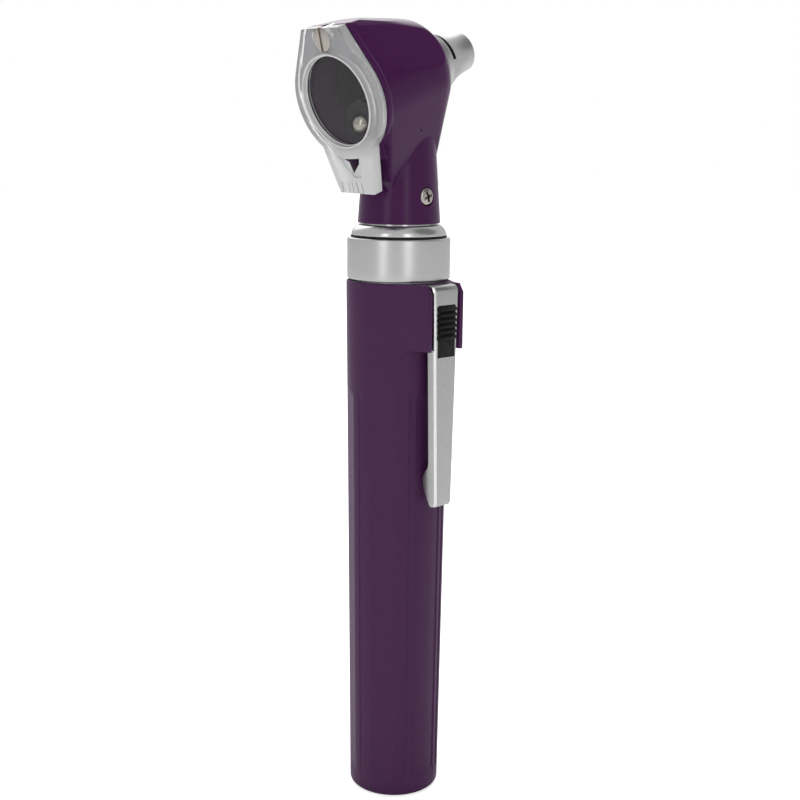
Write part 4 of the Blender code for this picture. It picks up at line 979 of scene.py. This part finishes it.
def area_light(name, location, target, energy, size, size_y=None, glossy=True):
    """A softbox in metres and watts; with glossy off it lights but isn't reflected."""
    light = bpy.data.lights.new(name, "AREA")
    light.energy = energy
    light.shape = "RECTANGLE"
    light.size = size
    light.size_y = size_y or size
    lamp = bpy.data.objects.new(name, light)
    lamp.location = location
    lamp.rotation_euler = (Vector(target) - Vector(location)).to_track_quat("-Z", "Y").to_euler()
    lamp.visible_camera = False
    lamp.visible_glossy = glossy
    scene.collection.objects.link(lamp)


def tent_tone(tree):
    """The tent's tone by direction, as a socket."""
    direction = tree.nodes.new("ShaderNodeTexCoord").outputs["Generated"]
    tone = None
    for toward, inner, outer, value in TENT_PATCHES:
        dot = tree.nodes.new("ShaderNodeVectorMath")
        dot.operation = "DOT_PRODUCT"
        tree.links.new(direction, dot.inputs[0])
        dot.inputs[1].default_value = Vector(toward).normalized()
        share = tree.nodes.new("ShaderNodeMapRange")
        share.interpolation_type = "SMOOTHSTEP"
        share.inputs["From Min"].default_value = math.cos(math.radians(outer))
        share.inputs["From Max"].default_value = math.cos(math.radians(inner))
        tree.links.new(dot.outputs["Value"], share.inputs["Value"])
        mix = tree.nodes.new("ShaderNodeMix")
        tree.links.new(share.outputs["Result"], mix.inputs["Factor"])
        mix.inputs["A"].default_value = TENT_TONE
        if tone:
            tree.links.new(tone, mix.inputs["A"])
        mix.inputs["B"].default_value = value
        tone = mix.outputs["Result"]
    return tone


def make_light():
    """A grey studio tent, white behind; two tall softboxes in front and one overhead."""
    world = bpy.data.worlds.new("studio")
    scene.world = world
    world.use_nodes = True
    tree = world.node_tree
    tent = tree.nodes["Background"]
    tent.inputs["Color"].default_value = (1, 1, 1, 1)
    tree.links.new(tent_tone(tree), tent.inputs["Strength"])
    white = tree.nodes.new("ShaderNodeBackground")
    white.inputs["Color"].default_value = (1, 1, 1, 1)
    choice = tree.nodes.new("ShaderNodeMixShader")
    tree.links.new(seen_directly(tree), choice.inputs["Fac"])
    tree.links.new(tent.outputs["Background"], choice.inputs[1])
    tree.links.new(white.outputs["Background"], choice.inputs[2])
    tree.links.new(choice.outputs["Shader"], tree.nodes["World Output"].inputs["Surface"])
    middle = (0, 0, 0.12)
    area_light("left_softbox", (0.130, -0.650, 0.28), middle, 0.32, 0.18, 0.54)
    area_light("right_softbox", (0.610, -0.260, 0.28), middle, 0.32, 0.18, 0.54)
    area_light("top_softbox", (-0.15, 0.15, 0.75), (0, 0, 0.1), 2.9, 0.8, glossy=False)


CAMERA_PLACE = (0.18113, -0.17722, 0.13008)      # metres
CAMERA_AZIMUTH = math.radians(45.5)
CAMERA_PITCH = math.radians(11.04)
CAMERA_ROLL = math.radians(0.60)
CAMERA_LENS, CAMERA_SENSOR = 58.5, 36.0          # millimetres


def make_camera():
    """The view from the front right, looking a little down and tilted by half a degree."""
    data = bpy.data.cameras.new("camera")
    data.lens = CAMERA_LENS
    data.sensor_width = CAMERA_SENSOR
    data.clip_start = 0.005
    camera = bpy.data.objects.new("camera", data)
    scene.collection.objects.link(camera)
    forward = Vector((-math.sin(CAMERA_AZIMUTH) * math.cos(CAMERA_PITCH),
                      math.cos(CAMERA_AZIMUTH) * math.cos(CAMERA_PITCH),
                      -math.sin(CAMERA_PITCH)))
    aim = forward.to_track_quat("-Z", "Y").to_matrix().to_4x4()
    camera.matrix_world = (Matrix.Translation(CAMERA_PLACE) @ aim
                           @ Matrix.Rotation(CAMERA_ROLL, 4, "Z"))
    scene.camera = camera


make_camera()
make_light()
make_floor()
make_handle()
make_collar()
make_clip()
make_switch()
make_head()
make_ferrule()
make_seam_shade()
make_nose()
make_screws()
make_inside()
make_contact_spring()
make_plate()
make_lens()
dress_kept_nodes()
scene.view_settings.view_transform = "Standard"
